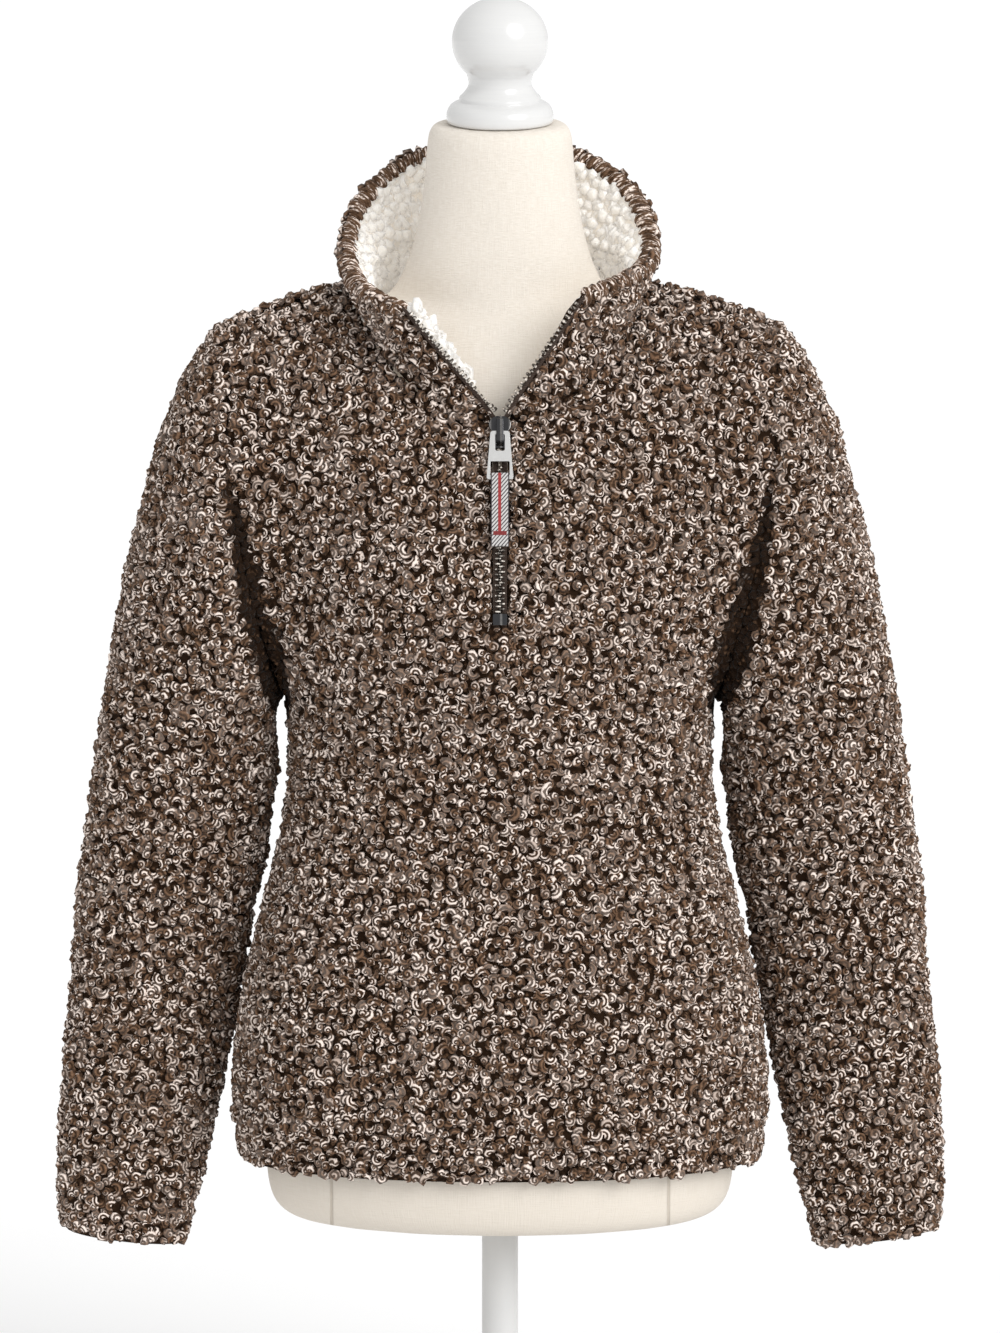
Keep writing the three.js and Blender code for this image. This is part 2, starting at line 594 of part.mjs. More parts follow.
// The zip's two edges, from its lower end up the slit and on up the collar's front edge, on the pile's tips.
function zipEdge(side) {
  const slit = [];
  for (const row of frontPanel.grid.slice(ZIP_ROW + 1)) {
    const i = row[HALF_COLUMNS][side < 0 ? 0 : 1];
    const out = vec(0, front.normals[i].y, front.normals[i].z).normalize();
    slit.push({ at: front.outer[i], out, in: vec(-side, 0, 0) });
  }
  const stride = COLLAR_ROWS + 1;
  const column = side > 0 ? 0 : COLLAR_END;
  const next = side > 0 ? 1 : COLLAR_END - 1;
  const open = [];
  for (let h = 1; h <= COLLAR_ROWS; h++) {
    const i = column * stride + h;
    const inward = collar.outer[i].clone().sub(collar.outer[next * stride + h]).normalize();
    const up = collar.outer[column * stride + h].clone().sub(collar.outer[i - 1]).normalize();
    const out = up.clone().cross(inward).multiplyScalar(side).normalize();
    open.push({ at: collar.outer[i], out, in: inward });
  }
  return { slit, open };
}

// A flat strip along a path: from one distance past the cloth's edge to another, between two depths.
function strip(path, fromEdge, toEdge, depth, thick, side) {
  const sections = path.map(({ at, out, in: inward }) => {
    const corner = (past, down) => at.clone().addScaledVector(inward, past).addScaledVector(out, -down);
    const section = [
      corner(fromEdge, depth),
      corner(toEdge, depth),
      corner(toEdge, depth + thick),
      corner(fromEdge, depth + thick),
    ];
    return side > 0 ? section.reverse() : section;
  });
  return loft(sections);
}

// A point part of the way between the neckline and the first row of the collar's edge.
function startOfTeeth(slit, open) {
  const [from, to] = [slit[slit.length - 1], open[0]];
  return { at: from.at.clone().lerp(to.at, TEETH.from), out: to.out, in: to.in };
}

function zipTapes() {
  const pieces = [];
  for (const side of [1, -1]) {
    const name = side > 0 ? "left" : "right";
    const { slit, open } = zipEdge(side);
    const tape = strip([...slit, ...open], TAPE_FROM, TAPE_WIDTH, TAPE_DEPTH, TAPE_THICK, side);
    const from = TAPE_WIDTH + 2 * SEAM_GAP;
    const path = [startOfTeeth(slit, open), ...open];
    const teeth = strip(path, from, from + TEETH.width, TEETH.depth, TEETH.thick, side);
    pieces.push(meshOf(`zip_tape_${name}`, tape, "tape"), meshOf(`zip_teeth_${name}`, teeth, "teeth"));
  }
  return pieces;
}

// The closed chain lies on the tapes from the stop up to the slider.
function zipChain() {
  const { slit } = zipEdge(1);
  const middle = slit.map(({ at, out }) => ({ at: vec(0, at.y, at.z), out, in: vec(-1, 0, 0) }));
  const path = middle.slice(1, -1);
  const thick = TAPE_DEPTH - SEAM_GAP + CHAIN.above;
  return meshOf("zip_chain", strip(path, -CHAIN.width / 2, CHAIN.width / 2, -CHAIN.above, thick, 1), "teeth");
}

// A flat outline with rounded corners.
function roundedShape(corners, radius, Kind = THREE.Shape) {
  const shape = new Kind();
  corners.forEach(([x, y], i) => {
    const corner = new THREE.Vector2(x, y);
    const before = new THREE.Vector2(...corners.at(i - 1));
    const after = new THREE.Vector2(...corners[(i + 1) % corners.length]);
    const enter = corner.clone().add(before.sub(corner).setLength(radius));
    const leave = corner.clone().add(after.sub(corner).setLength(radius));
    if (i === 0) shape.moveTo(enter.x, enter.y);
    else shape.lineTo(enter.x, enter.y);
    shape.quadraticCurveTo(x, y, leave.x, leave.y);
  });
  shape.closePath();
  return shape;
}

const box = (half, low, high) => [
  [-half, low],
  [half, low],
  [half, high],
  [-half, high],
];

function plate(shape, from, thick) {
  const options = { depth: thick, bevelEnabled: false, curveSegments: 4 };
  return new THREE.ExtrudeGeometry(shape, options).translate(0, 0, from);
}

// A plate standing across the zip: its outline is drawn along the zip and outwards.
function crossPlate(shape, width) {
  const options = { depth: width, bevelEnabled: false, curveSegments: 4 };
  const across = new THREE.Matrix4().makeBasis(vec(0, 1, 0), vec(0, 0, 1), vec(1, 0, 0));
  return new THREE.ExtrudeGeometry(shape, options).translate(0, 0, -width / 2).applyMatrix4(across);
}

// A frame on the chest: X across, Y up along a lean from the vertical, Z outwards.
function leaningFrame(origin, degrees) {
  const lean = THREE.MathUtils.degToRad(degrees);
  const up = vec(0, Math.sin(lean), Math.cos(lean));
  const out = vec(0, -Math.cos(lean), Math.sin(lean));
  return new THREE.Matrix4().makeBasis(vec(1, 0, 0), up, out).setPosition(origin);
}

function solidFrom(geometry) {
  const bare = geometry.index ? geometry.toNonIndexed() : geometry;
  const points = new THREE.BufferGeometry().setAttribute("position", bare.attributes.position);
  const welded = mergeVertices(points, 1e-3);
  const vertProperties = welded.attributes.position.array;
  const triVerts = new Uint32Array(welded.index.array);
  return new wasm.Manifold(new wasm.Mesh({ numProp: 3, vertProperties, triVerts }));
}

function joined(geometries) {
  const made = geometries.map(solidFrom).reduce((sum, solid) => sum.add(solid)).getMesh();
  const geometry = new THREE.BufferGeometry();
  geometry.setAttribute("position", new THREE.BufferAttribute(made.vertProperties, made.numProp));
  geometry.setIndex(new THREE.BufferAttribute(made.triVerts, 1));
  geometry.computeVertexNormals();
  return geometry;
}

const sliderFrame = leaningFrame(bodyPoint(0, SLIDER.row, -1), SLIDER.lean);
const SLIDER_FACE = SLIDER.lift + SLIDER.plate;

// Slider: a winged plate in front of the chain, with the bridge that holds the pull.
function zipSlider() {
  const { crown, wings, tail } = SLIDER_WIDTH;
  const half = [
    [crown / 2, SLIDER.top],
    [wings / 2, SLIDER.top - 2.5],
    [wings / 2, SLIDER.top - 8],
    [tail / 2, SLIDER.top - 11.5],
    [tail / 2, SLIDER.bottom],
  ];
  const outline = [...half.map(([x, y]) => [-x, y]), ...half.slice().reverse()];
  const face = plate(roundedShape(outline, 1.1), SLIDER.lift, SLIDER.plate);
  const crest = SLIDER_FACE + BRIDGE.height;
  const foot = SLIDER_FACE - SLIDER.plate / 2;
  const arch = [
    [BRIDGE.top, foot],
    [BRIDGE.top - 3, crest],
    [BRIDGE.bottom + 3, crest],
    [BRIDGE.bottom, foot],
    [BRIDGE.bottom + 1.8, foot],
    [BRIDGE.bottom + 4.2, crest - BRIDGE.thick],
    [BRIDGE.top - 4.2, crest - BRIDGE.thick],
    [BRIDGE.top - 1.8, foot],
  ];
  const bridge = crossPlate(roundedShape(arch, 0.5), BRIDGE.width);
  return meshOf("zip_slider", joined([face, bridge]).applyMatrix4(sliderFrame), "slider");
}

// The stop closes the zip's lower end.
function zipStop() {
  const { slit } = zipEdge(1);
  const rise = slit[1].at.clone().sub(slit[0].at);
  const lean = 90 - THREE.MathUtils.radToDeg(Math.atan2(rise.z, rise.y));
  const frame = leaningFrame(vec(0, slit[0].at.y, slit[0].at.z + 0.6 * STOP.height), lean);
  const outline = roundedShape(box(STOP.width / 2, -STOP.height / 2, STOP.height / 2), STOP.edge);
  const from = SEAM_GAP - TAPE_DEPTH;
  return meshOf("zip_stop", plate(outline, from, STOP.thick).applyMatrix4(frame), "slider");
}

const pivot = vec(0, TAB.pivot, SLIDER_FACE + TAB.lift).applyMatrix4(sliderFrame);
const tabFrame = leaningFrame(pivot, TAB_LEAN);

// Pull tab: its crossbar turns under the slider's bridge, and its foot carries a loop of webbing.
function pullTab() {
  const outline = [
    [-TAB_WIDTH.head / 2, TAB.head],
    [-TAB_WIDTH.foot / 2, -TAB.length],
    [TAB_WIDTH.foot / 2, -TAB.length],
    [TAB_WIDTH.head / 2, TAB.head],
  ];
  const shape = roundedShape(outline, TAB.round);
  for (const { width, from, to, round } of TAB_SLOTS)
    shape.holes.push(roundedShape(box(width / 2, -to, -from).reverse(), round, THREE.Path));
  return meshOf("zip_pull_tab", plate(shape, -TAB.thick / 2, TAB.thick).applyMatrix4(tabFrame), "tab");
}

function pullWebbing() {
  const barFrom = TAB_SLOTS[1].to - SEAM_GAP;
  const barTo = TAB.length + SEAM_GAP;
  const clear = TAB.thick / 2 + SEAM_GAP;
  const half = clear + WEBBING.thick;
  const outline = [
    [WEBBING.thick - barFrom, half],
    [-barTo, half],
    [-WEBBING.joined, WEBBING.thick],
    [-WEBBING.reach, WEBBING.thick],
    [-WEBBING.reach, -WEBBING.thick],
    [-WEBBING.joined, -WEBBING.thick],
    [-barTo, -half],
    [WEBBING.thick - barFrom, -half],
  ];
  const loop = roundedShape(outline, 1);
  const hole = [
    [-barFrom, clear],
    [-barFrom, -clear],
    [-barTo, -clear],
    [-barTo, clear],
  ];
  loop.holes.push(roundedShape(hole, 0.3, THREE.Path));
  return meshOf("pull_webbing", crossPlate(loop, WEBBING.width).applyMatrix4(tabFrame), "webbing");
}

// The dress form: rings from the hips to the neck's top plate.
function formTorso() {
  const rings = FORM_SECTIONS.map((row) =>
    Array.from({ length: FORM_SIDES }, (_, j) => {
      const angle = (2 * Math.PI * j) / FORM_SIDES;
      const depth = Math.sin(angle) < 0 ? row.front : row.back;
      const y = depth * Math.sin(angle) * Math.abs(Math.sin(angle)) ** row.pinch;
      return vec(row.half * Math.cos(angle), y, row.z + row.tilt * y);
    }),
  );
  return meshOf("form_torso", loft(rings), "linen");
}

function neckCap() {
  const ball = Array.from({ length: 11 }, (_, i) => {
    const angle = THREE.MathUtils.degToRad(THREE.MathUtils.lerp(CAP_BALL.fromDegrees, 90, i / 10));
    return { r: CAP_BALL.radius * Math.cos(angle), z: CAP_BALL.centreZ + CAP_BALL.height * Math.sin(angle) };
  });
  const profile = [{ r: 0, z: 0 }, ...CAP_PROFILE, ...ball];
  profile[profile.length - 1].r = 0;
  const cap = meshOf("form_cap", lathe(profile, 28), "white");
  cap.rotation.x = Math.PI / 2 - CAP_TILT;
  cap.position.set(0, 0, 1020 + 2 * SEAM_GAP);
  return cap;
}

// A turned piece, drawn lying down and stood up by its mesh's rotation.
function lathe(profile, sides) {
  return new THREE.LatheGeometry(profile.map(({ r, z }) => new THREE.Vector2(r, z)), sides);
}

function stand() {
  const poleFrom = BASE.thick + SEAM_GAP;
  const poleTo = FORM_BOTTOM - SEAM_GAP;
  const tube = new THREE.CylinderGeometry(POLE_RADIUS, POLE_RADIUS, poleTo - poleFrom, 24);
  const pole = meshOf("stand_pole", tube, "white");
  pole.position.z = (poleFrom + poleTo) / 2;
  const disc = [
    { r: 0, z: 0 },
    { r: BASE.radius, z: 0 },
    { r: BASE.radius, z: BASE.thick - BASE.edge },
    { r: BASE.radius - BASE.edge, z: BASE.thick },
    { r: 0, z: BASE.thick },
  ];
  const base = meshOf("stand_base", lathe(disc, 48), "white");
  for (const piece of [pole, base]) piece.rotation.x = Math.PI / 2;
  return [pole, base];
}

const part = new THREE.Group();
part.add(
  meshOf("front", front.geometry, "fleece"),
  meshOf("back", back.geometry, "fleece"),
  meshOf("sleeve_left", sleeve(1).geometry, "fleece"),
  meshOf("sleeve_right", sleeve(-1).geometry, "fleece"),
  meshOf("collar", collar.geometry, "fleece"),
  meshOf("collar_lining", collarLining().geometry, "lining"),
  ...zipTapes(),
  zipChain(),
  zipStop(),
  zipSlider(),
  pullTab(),
  pullWebbing(),
  formTorso(),
  neckCap(),
  ...stand(),
);

export default part;
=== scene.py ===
import json
import math

import bmesh
import bpy
import numpy as np
from bpy.props import FloatProperty, FloatVectorProperty, IntProperty, PointerProperty
from mathutils import Matrix, Vector


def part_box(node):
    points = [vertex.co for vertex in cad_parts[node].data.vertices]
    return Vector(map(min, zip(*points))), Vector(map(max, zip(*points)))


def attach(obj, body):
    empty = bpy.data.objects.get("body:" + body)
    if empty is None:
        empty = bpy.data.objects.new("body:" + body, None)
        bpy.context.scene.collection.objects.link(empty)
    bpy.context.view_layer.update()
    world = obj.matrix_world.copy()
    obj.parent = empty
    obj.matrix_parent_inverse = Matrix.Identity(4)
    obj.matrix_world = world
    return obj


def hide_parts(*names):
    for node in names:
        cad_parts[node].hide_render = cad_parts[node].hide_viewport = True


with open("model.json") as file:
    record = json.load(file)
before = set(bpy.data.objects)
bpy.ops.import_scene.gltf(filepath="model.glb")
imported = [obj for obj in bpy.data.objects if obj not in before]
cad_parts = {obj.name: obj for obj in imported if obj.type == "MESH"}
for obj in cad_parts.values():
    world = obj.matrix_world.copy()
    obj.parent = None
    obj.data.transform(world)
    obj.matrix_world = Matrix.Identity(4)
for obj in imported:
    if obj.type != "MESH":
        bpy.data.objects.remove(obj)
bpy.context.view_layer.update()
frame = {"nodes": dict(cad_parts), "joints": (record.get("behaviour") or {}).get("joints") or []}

bl_info = {
    "name": "Sherpa pullover on a dress form",
    "version": (1, 0, 0),
    "blender": (4, 5, 0),
    "location": "View3D > Sidebar > Pullover",
    "description": "Dresses the pullover's solids in looped pile, zip teeth, webbing and linen",
    "category": "Object",
}

PULLOVER = "pullover_on_form"
PULL = "zip_pull"
PULL_PIVOT = Vector(frame["joints"][0]["pos_m"])
TAB_LEAN = math.radians(24)
NECK_TILT = math.atan(0.12)
SLIDER_LEAN = math.radians(25)
PIVOT_IN_SLIDER = (-0.003, 0.005)
# Half of the slider's outline, its bridge seen from the side, and how thick and wide they are
SLIDER_HALF = (
    (0.0026, 0.0100), (0.0048, 0.0092), (0.0066, 0.0076), (0.0076, 0.0054), (0.0076, 0.0032),
    (0.0070, 0.0010), (0.0058, -0.0008), (0.0050, -0.0026), (0.0047, -0.0050), (0.0047, -0.0124),
    (0.0040, -0.0135),
)
BRIDGE_ARCH = (
    (0.0092, 0.0024), (0.0062, 0.0080), (-0.0096, 0.0080), (-0.0126, 0.0024), (-0.0108, 0.0024),
    (-0.0084, 0.0066), (0.0050, 0.0066), (0.0074, 0.0024),
)
SLIDER_THICK = 0.0016
BRIDGE_WIDE = 0.005

PILE_CLOTHS = ("front", "back", "sleeve_left", "sleeve_right", "collar")
ZIP_TAPES = ("zip_tape_left", "zip_tape_right")
# The cloth's two sides, as cloth_sides lists them
OUTSIDE, INSIDE = 0, 1
# Points along a zip tape, along the collar's rim and along each edge of a seam
ZIP_POINTS, RIM_POINTS, SEAM_POINTS = 240, 120, 8
# Heights: insides are cream above the first, armholes lie above the second, hems below the third
LINED_ABOVE = 0.78
ARMHOLES_ABOVE = 0.55
HEMS_BELOW = 0.4
# A hem's faces point down at least this much, and an upright edge's up or down less than this
HEM_DOWN = -0.6
UPRIGHT = 0.7

# Curls of yarn: half the turn in radians, bend, lift and thickness as shares, sections
CURLS = (
    (1.25, 1.0, 0.5, 1.0, 3), (0.9, 1.0, 0.9, 1.08, 3), (1.9, 1.15, 0.4, 0.8, 4),
    (0.7, 1.0, 0.6, 1.14, 3), (2.3, 1.22, 0.35, 0.76, 4), (1.5, 1.1, 0.4, 0.88, 3),
)
# From a curl's middle to its ends, and the yarn's thickness there
CURL_PROFILE = ((0, 0.6, 0.85, 1), (1.0, 0.88, 0.7, 0))
# Shares: length against width, corners in and out, the yarn's radius against its drawn coil, sizes
CURL_STRETCH = 1.1
CURL_UNEVEN = (0.88, 1.12)
CURL_SEEN = 1.25
CURL_SIZES = (0.85, 1.32)
# How far curls lean at random, and the height from roots to tips over which the painted shade at the roots
# fades
CURL_TILT = 0.26
CURL_HEIGHT = 0.0052
CURL_SEED = 29
# Share by which the curls along the zip stand closer than the spacing
EDGE_CROWD = 1.2
# Share of the ground's depth that a seam under the arm gives up
ARM_SEAM = 0.8
# Crease at the armholes, sunk deeper and darkened with painted shade: full width up to a height, narrower
# above it, then gone
CREASE_FULL = 0.66
CREASE_TAPER = 6.0
CREASE_LEAST = 0.32
CREASE_TOP = 0.76
CREASE_FADE = 0.09
CREASE_SINK = 0.0012
# Painted shade: how far the curls turn to the colour of their roots at the hem's stitching, on the sleeves
# and beside the zip
HEM_SHADE = 0.4
HEM_SPREAD = 0.0035
SLEEVE_SHADE = 0.1
ZIP_SHADE = 0.5
ZIP_SHRINK = 0.22
ZIP_SINK = 0.0008
# Distance from the lining up to which a cut edge of the body is cream
NECK_EDGE = 0.012

# Tufts of the lining: sizes as shares, and the bend as a share of the yarn's radius
TUFT_SIZES = (0.85, 1.2)
TUFT_BEND = 0.75
LINING_SEED = 41
# Depth of the lining's ground below its wall's face, and the depth that its zip edges lie before
LINING_GROUND = 0.0004
LINING_FRONT = -0.06
# Tufts along the right zip edge: closeness, height they come up in, rows past the edge, way back from it
FRINGE_CROWD = 0.6
FRINGE_RISE = 0.05
FRINGE_ROWS = (0.0, 0.006)
FRINGE_BACK = (0, 0.0045, 0)
# Tufts on the inside of the cloth that the neck shows
INNER_CROWD = 0.7
INNER_LIFT = 0.0014
NECK_HALF = 0.11

# Loops of the rim: half the turn in radians, the yarn's thickness along it, and what varies
RIM_BEND = 2.15
RIM_PROFILE = (0, 0.8, 0.95, 1, 1.04, 1.06, 1.04, 1, 0.95, 0.8, 0)
RIM_REACH = (0.58, 0.72)
RIM_SLANT = (0.2, 0.75)
RIM_UNEVEN = (0.88, 1.1)
RIM_SIDES = 8
RIM_TURNS, RIM_LENGTHS = 2.0, 2.5
RIM_SEED = 83

# Teeth: width and shift as shares of the strip, length as a share of the setting, height, corners
ROW_WIDE = 1.3
CHAIN_LONG, CHAIN_WIDE, CHAIN_SHIFT = 0.72, 0.6, 0.21
TOOTH_HIGH = 0.0014
TOOTH_CORNER = 0.42
TEETH_UNDER_SLIDER = 0.008

# The turned cap: foot as radius and height, then the ball
CAP_FOOT = (
    (0, 0), (0.0366, 0), (0.0372, 0.0012), (0.0374, 0.004), (0.0370, 0.0072), (0.0360, 0.0098),
    (0.0344, 0.0121), (0.0322, 0.0136), (0.0300, 0.0146), (0.0287, 0.0152), (0.0284, 0.0158),
    (0.0284, 0.0172), (0.0280, 0.0181), (0.0262, 0.0196), (0.0245, 0.0217), (0.0228, 0.0240),
    (0.0219, 0.0264), (0.0219, 0.0286), (0.0224, 0.0304),
)
CAP_BALL = (0.0335, 0.031)
CAP_BALL_MIDDLE = 0.0565
CAP_TOP = 0.0875
CAP_SEAT = 1.0206
BASE_LIP = 0.004
BASE_CHAMFER = 0.001
TORSO_ROUND = 0.13

KEY_PLACE = (1.9, -2.2, 2.3)
FLOOR_HALF = 140
SENSOR = 36

# Noise scales of loose fibre, of the ground's loops, and of the linen across and along its threads
FIBRE = 700.0
SPREAD = 420.0
THREADS = 1300.0
SLUBS = 70.0
# What the marled finishes share, and what lets light into the cream ones
MARL = {"roughness": 0.88, "sheen_weight": 0.04, "sheen_roughness": 0.5, "specular_ior_level": 0.12}
SOFT = {"subsurface_weight": 1.0, "subsurface_radius": (1.0, 1.0, 1.0), "subsurface_scale": 0.006}


def length(name, default, description):
    return FloatProperty(name=name, description=description, default=default, unit="LENGTH", precision=5)


def colour(name, default, description):
    return FloatVectorProperty(
        name=name, description=description, default=default, subtype="COLOR", size=3, min=0, max=1
    )


class PileSettings(bpy.types.PropertyGroup):
    """Brown looped pile of the body, sleeves and collar"""

    spacing: length("Spacing", 0.0051, "Least distance between two curls of yarn")
    curl: length("Curl", 0.0026, "Radius that a curl of yarn bends round")
    yarn: length("Yarn", 0.0033, "Radius of the yarn")
    sink: length("Sink", 0.0032, "Depth of a curl's middle below the pile's tips")
    ground: length("Ground", 0.0033, "Depth of the ground cloth below the pile's tips")
    zip_strip: length("Zip strip", 0.011, "Width of the sewn-down pile beside the zip")
    zip_clear: length("Zip clear", 0.0062, "Distance from the tape's middle to the first curls")
    edge_row: length("Edge row", 0.0026, "Distance from the cloth's zip edge to the row of curls along it")
    seam_strip: length("Seam strip", 0.0150, "Width of the crease beside the armhole seams")
    seam_fade: length("Seam fade", 0.0040, "Part of that width where the crease comes to an end")
    neck_strip: length("Neck strip", 0.016, "Distance from the lining up to which an edge is the neckline")
    lining_clear: length("Lining clear", 0.0055, "Distance the body's pile keeps from the neckline")
    rim_strip: length("Rim strip", 0.012, "Width of the brown inside the collar's rim")
    hem_line: length("Hem line", 0.313, "Height of the stitching that holds the turned hem")
    allowance: length("Allowance", 0.0012, "How far the ground cloths lap at their seams")
    # Dark colour of the ground cloth, also used as painted shade at the curls' roots, in the armholes'
    # crease, at the hem's stitching, on the sleeves and beside the zip
    root: colour("Root", (0.019, 0.0091, 0.0042), "Ground cloth and the yarn's roots")
    dark: colour("Dark strand", (0.028, 0.0136, 0.0061), "Darkest strand of the marled yarn")
    brown: colour("Brown strand", (0.218, 0.1245, 0.0735), "Main strand of the marled yarn")
    cream: colour("Cream strand", (0.95, 0.82, 0.735), "Light strand of the marled yarn")
    seed: IntProperty(name="Seed", description="Start of the pile's scatter", default=7)


class LiningSettings(bpy.types.PropertyGroup):
    """Cream looped pile inside the collar"""

    spacing: length("Spacing", 0.0066, "Least distance between two tufts")
    tuft: length("Tuft", 0.0044, "Radius of a tuft's yarn")
    sink: length("Sink", 0.0016, "Depth of a tuft's middle below the pile's tips")
    rim: length("Rim", 0.0065, "Breadth below the rim that its loops cover")
    reach: length("Reach", 0.878, "Lowest height of the lining inside the neck")
    edge: length("Edge", 0.010, "Distance of the first tufts from the left zip edge")
    fringe: length("Fringe", 0.848, "Height where the tufts along the right zip edge begin")
    # Painted light: how strongly the cream pile shines with its own light, though it is no lamp
    painted_glow: FloatProperty(name="Glow", description="Light that comes through the pile", default=0.17)
    cream: colour("Cream", (0.92, 0.88, 0.825), "Tips of the tufts")
    shade: colour("Shade", (0.86, 0.81, 0.735), "Between the tufts")


class RimSettings(bpy.types.PropertyGroup):
    """Loops of yarn that bind the collar's rim"""

    pitch: length("Pitch", 0.0074, "Distance between two loops along the rim")
    yarn: length("Yarn", 0.0041, "Radius of a loop's yarn")
    drop: length("Drop", 0.0052, "Depth of a loop's middle below the rim")


class ZipSettings(bpy.types.PropertyGroup):
    """Zip tapes, teeth, slider and pull tab"""

    pitch: length("Pitch", 0.0036, "Distance between two teeth of one side")
    tooth: length("Tooth", 0.0021, "Length of a tooth along the zip")
    edge: length("Edge", 0.00028, "Rounding of the metal's edges")
    tape: colour("Tape", (0.040, 0.027, 0.021), "Woven tape")
    teeth: colour("Teeth", (0.075, 0.063, 0.053), "Antique metal of the teeth")
    gunmetal: colour("Gunmetal", (0.055, 0.055, 0.058), "Slider and stop")
    nickel: colour("Nickel", (0.72, 0.72, 0.71), "Pull tab")
    rib: colour("Rib", (0.115, 0.080, 0.062), "Worn ribs of the tape")
    # Bright colour of the teeth: wear, and painted glints
    wear_and_glint: colour("Rubbed teeth", (0.88, 0.81, 0.73), "Teeth where they are rubbed bright")
    # Colour of the painted highlights on the slider and stop
    wear_and_highlight: colour("Worn plating", (0.30, 0.29, 0.28), "Slider and stop where they are rubbed")
    brushed: colour("Brushed nickel", (0.42, 0.41, 0.40), "Brush marks on the pull tab")


class WebbingSettings(bpy.types.PropertyGroup):
    """Striped webbing loop on the pull tab"""

    width: length("Width", 0.0124, "Width of the webbing")
    stripe: length("Stripe", 0.0030, "Distance between two slanting stripes")
    end: length("End", 0.0720, "Distance from the hinge to the middle stripe's end")
    tack: length("Bar tack", 0.0730, "Distance from the hinge to the bar tack")
    white: colour("White", (0.78, 0.76, 0.74), "Ground of the webbing")
    dark: colour("Dark", (0.055, 0.045, 0.050), "Slanting stripes and edges")
    red: colour("Red", (0.42, 0.045, 0.045), "Middle stripe and bar tack")


class FormSettings(bpy.types.PropertyGroup):
    """Dress form and its stand"""

    linen: colour("Linen", (0.83, 0.775, 0.70), "Cover of the form")
    slub: colour("Slub", (0.74, 0.675, 0.59), "Darker threads of the cover")
    seam: length("Princess seam", 0.1175, "Distance of the long seams from the middle")
    lacquer: colour("Lacquer", (0.66, 0.66, 0.655), "Turned neck cap")
    paint: colour("Paint", (0.62, 0.62, 0.615), "Pole and base")
    low: colour("Low linen", (0.66, 0.60, 0.52), "Cover in the shade of the hem")
    groove: colour("Seam groove", (0.42, 0.36, 0.29), "Depth of the long seams")
    grain: colour("Grain", (0.79, 0.78, 0.76), "Turning marks under the lacquer")
    dust: colour("Dust", (0.70, 0.69, 0.67), "Dull patches of the paint")


class StageSettings(bpy.types.PropertyGroup):
    """Floor, light and camera"""

    distance: length("Camera distance", 5.0, "From the camera to the form's middle")
    pitch: FloatProperty(
        name="Camera pitch", description="How far the camera looks down", default=math.radians(6.5),
        subtype="ANGLE",
    )
    aim: length("Aim height", 0.6397, "Height that the camera looks at")
    lens: FloatProperty(name="Lens", description="Focal length in millimetres", default=192.6)
    key: FloatProperty(name="Key light", description="Strength of the soft key", default=1.8)
    spread: FloatProperty(
        name="Key spread", description="Angle that the key fills", default=math.radians(36), subtype="ANGLE"
    )
    sky: FloatProperty(name="Sky", description="Strength of the white surroundings", default=0.78)
    floor: colour("Floor", (0.99, 0.99, 0.99), "Pale floor")
    cloud: colour("Cloud", (0.96, 0.96, 0.96), "Faint unevenness of the floor")


class Wire:
    """A value in a finish; sums on it add Math nodes"""

    def __init__(self, finish, socket):
        self.finish = finish
        self.socket = socket

    def math(self, operation, *values):
        return self.finish.math(operation, self, *values)

    def __add__(self, other):
        return self.math("ADD", other)

    __radd__ = __add__

    def __sub__(self, other):
        return self.math("SUBTRACT", other)

    def __rsub__(self, other):
        return self.finish.math("SUBTRACT", other, self)

    def __mul__(self, other):
        return self.math("MULTIPLY", other)

    __rmul__ = __mul__

    def __truediv__(self, other):
        return self.math("DIVIDE", other)

    def __abs__(self):
        return self.math("ABSOLUTE")

    def wave(self):
        """0 to 1 and back for each whole number"""
        return 0.5 + 0.5 * (self * math.tau).math("SINE")

    def part(self):
        return self.math("FRACT")

    def step(self, low, high):
        """0 below low, 1 above high, and smooth between them"""
        settings = {"interpolation_type": "SMOOTHSTEP"}
        return self.finish.node("MapRange", settings, {"Value": self, "From Min": low, "From Max": high})


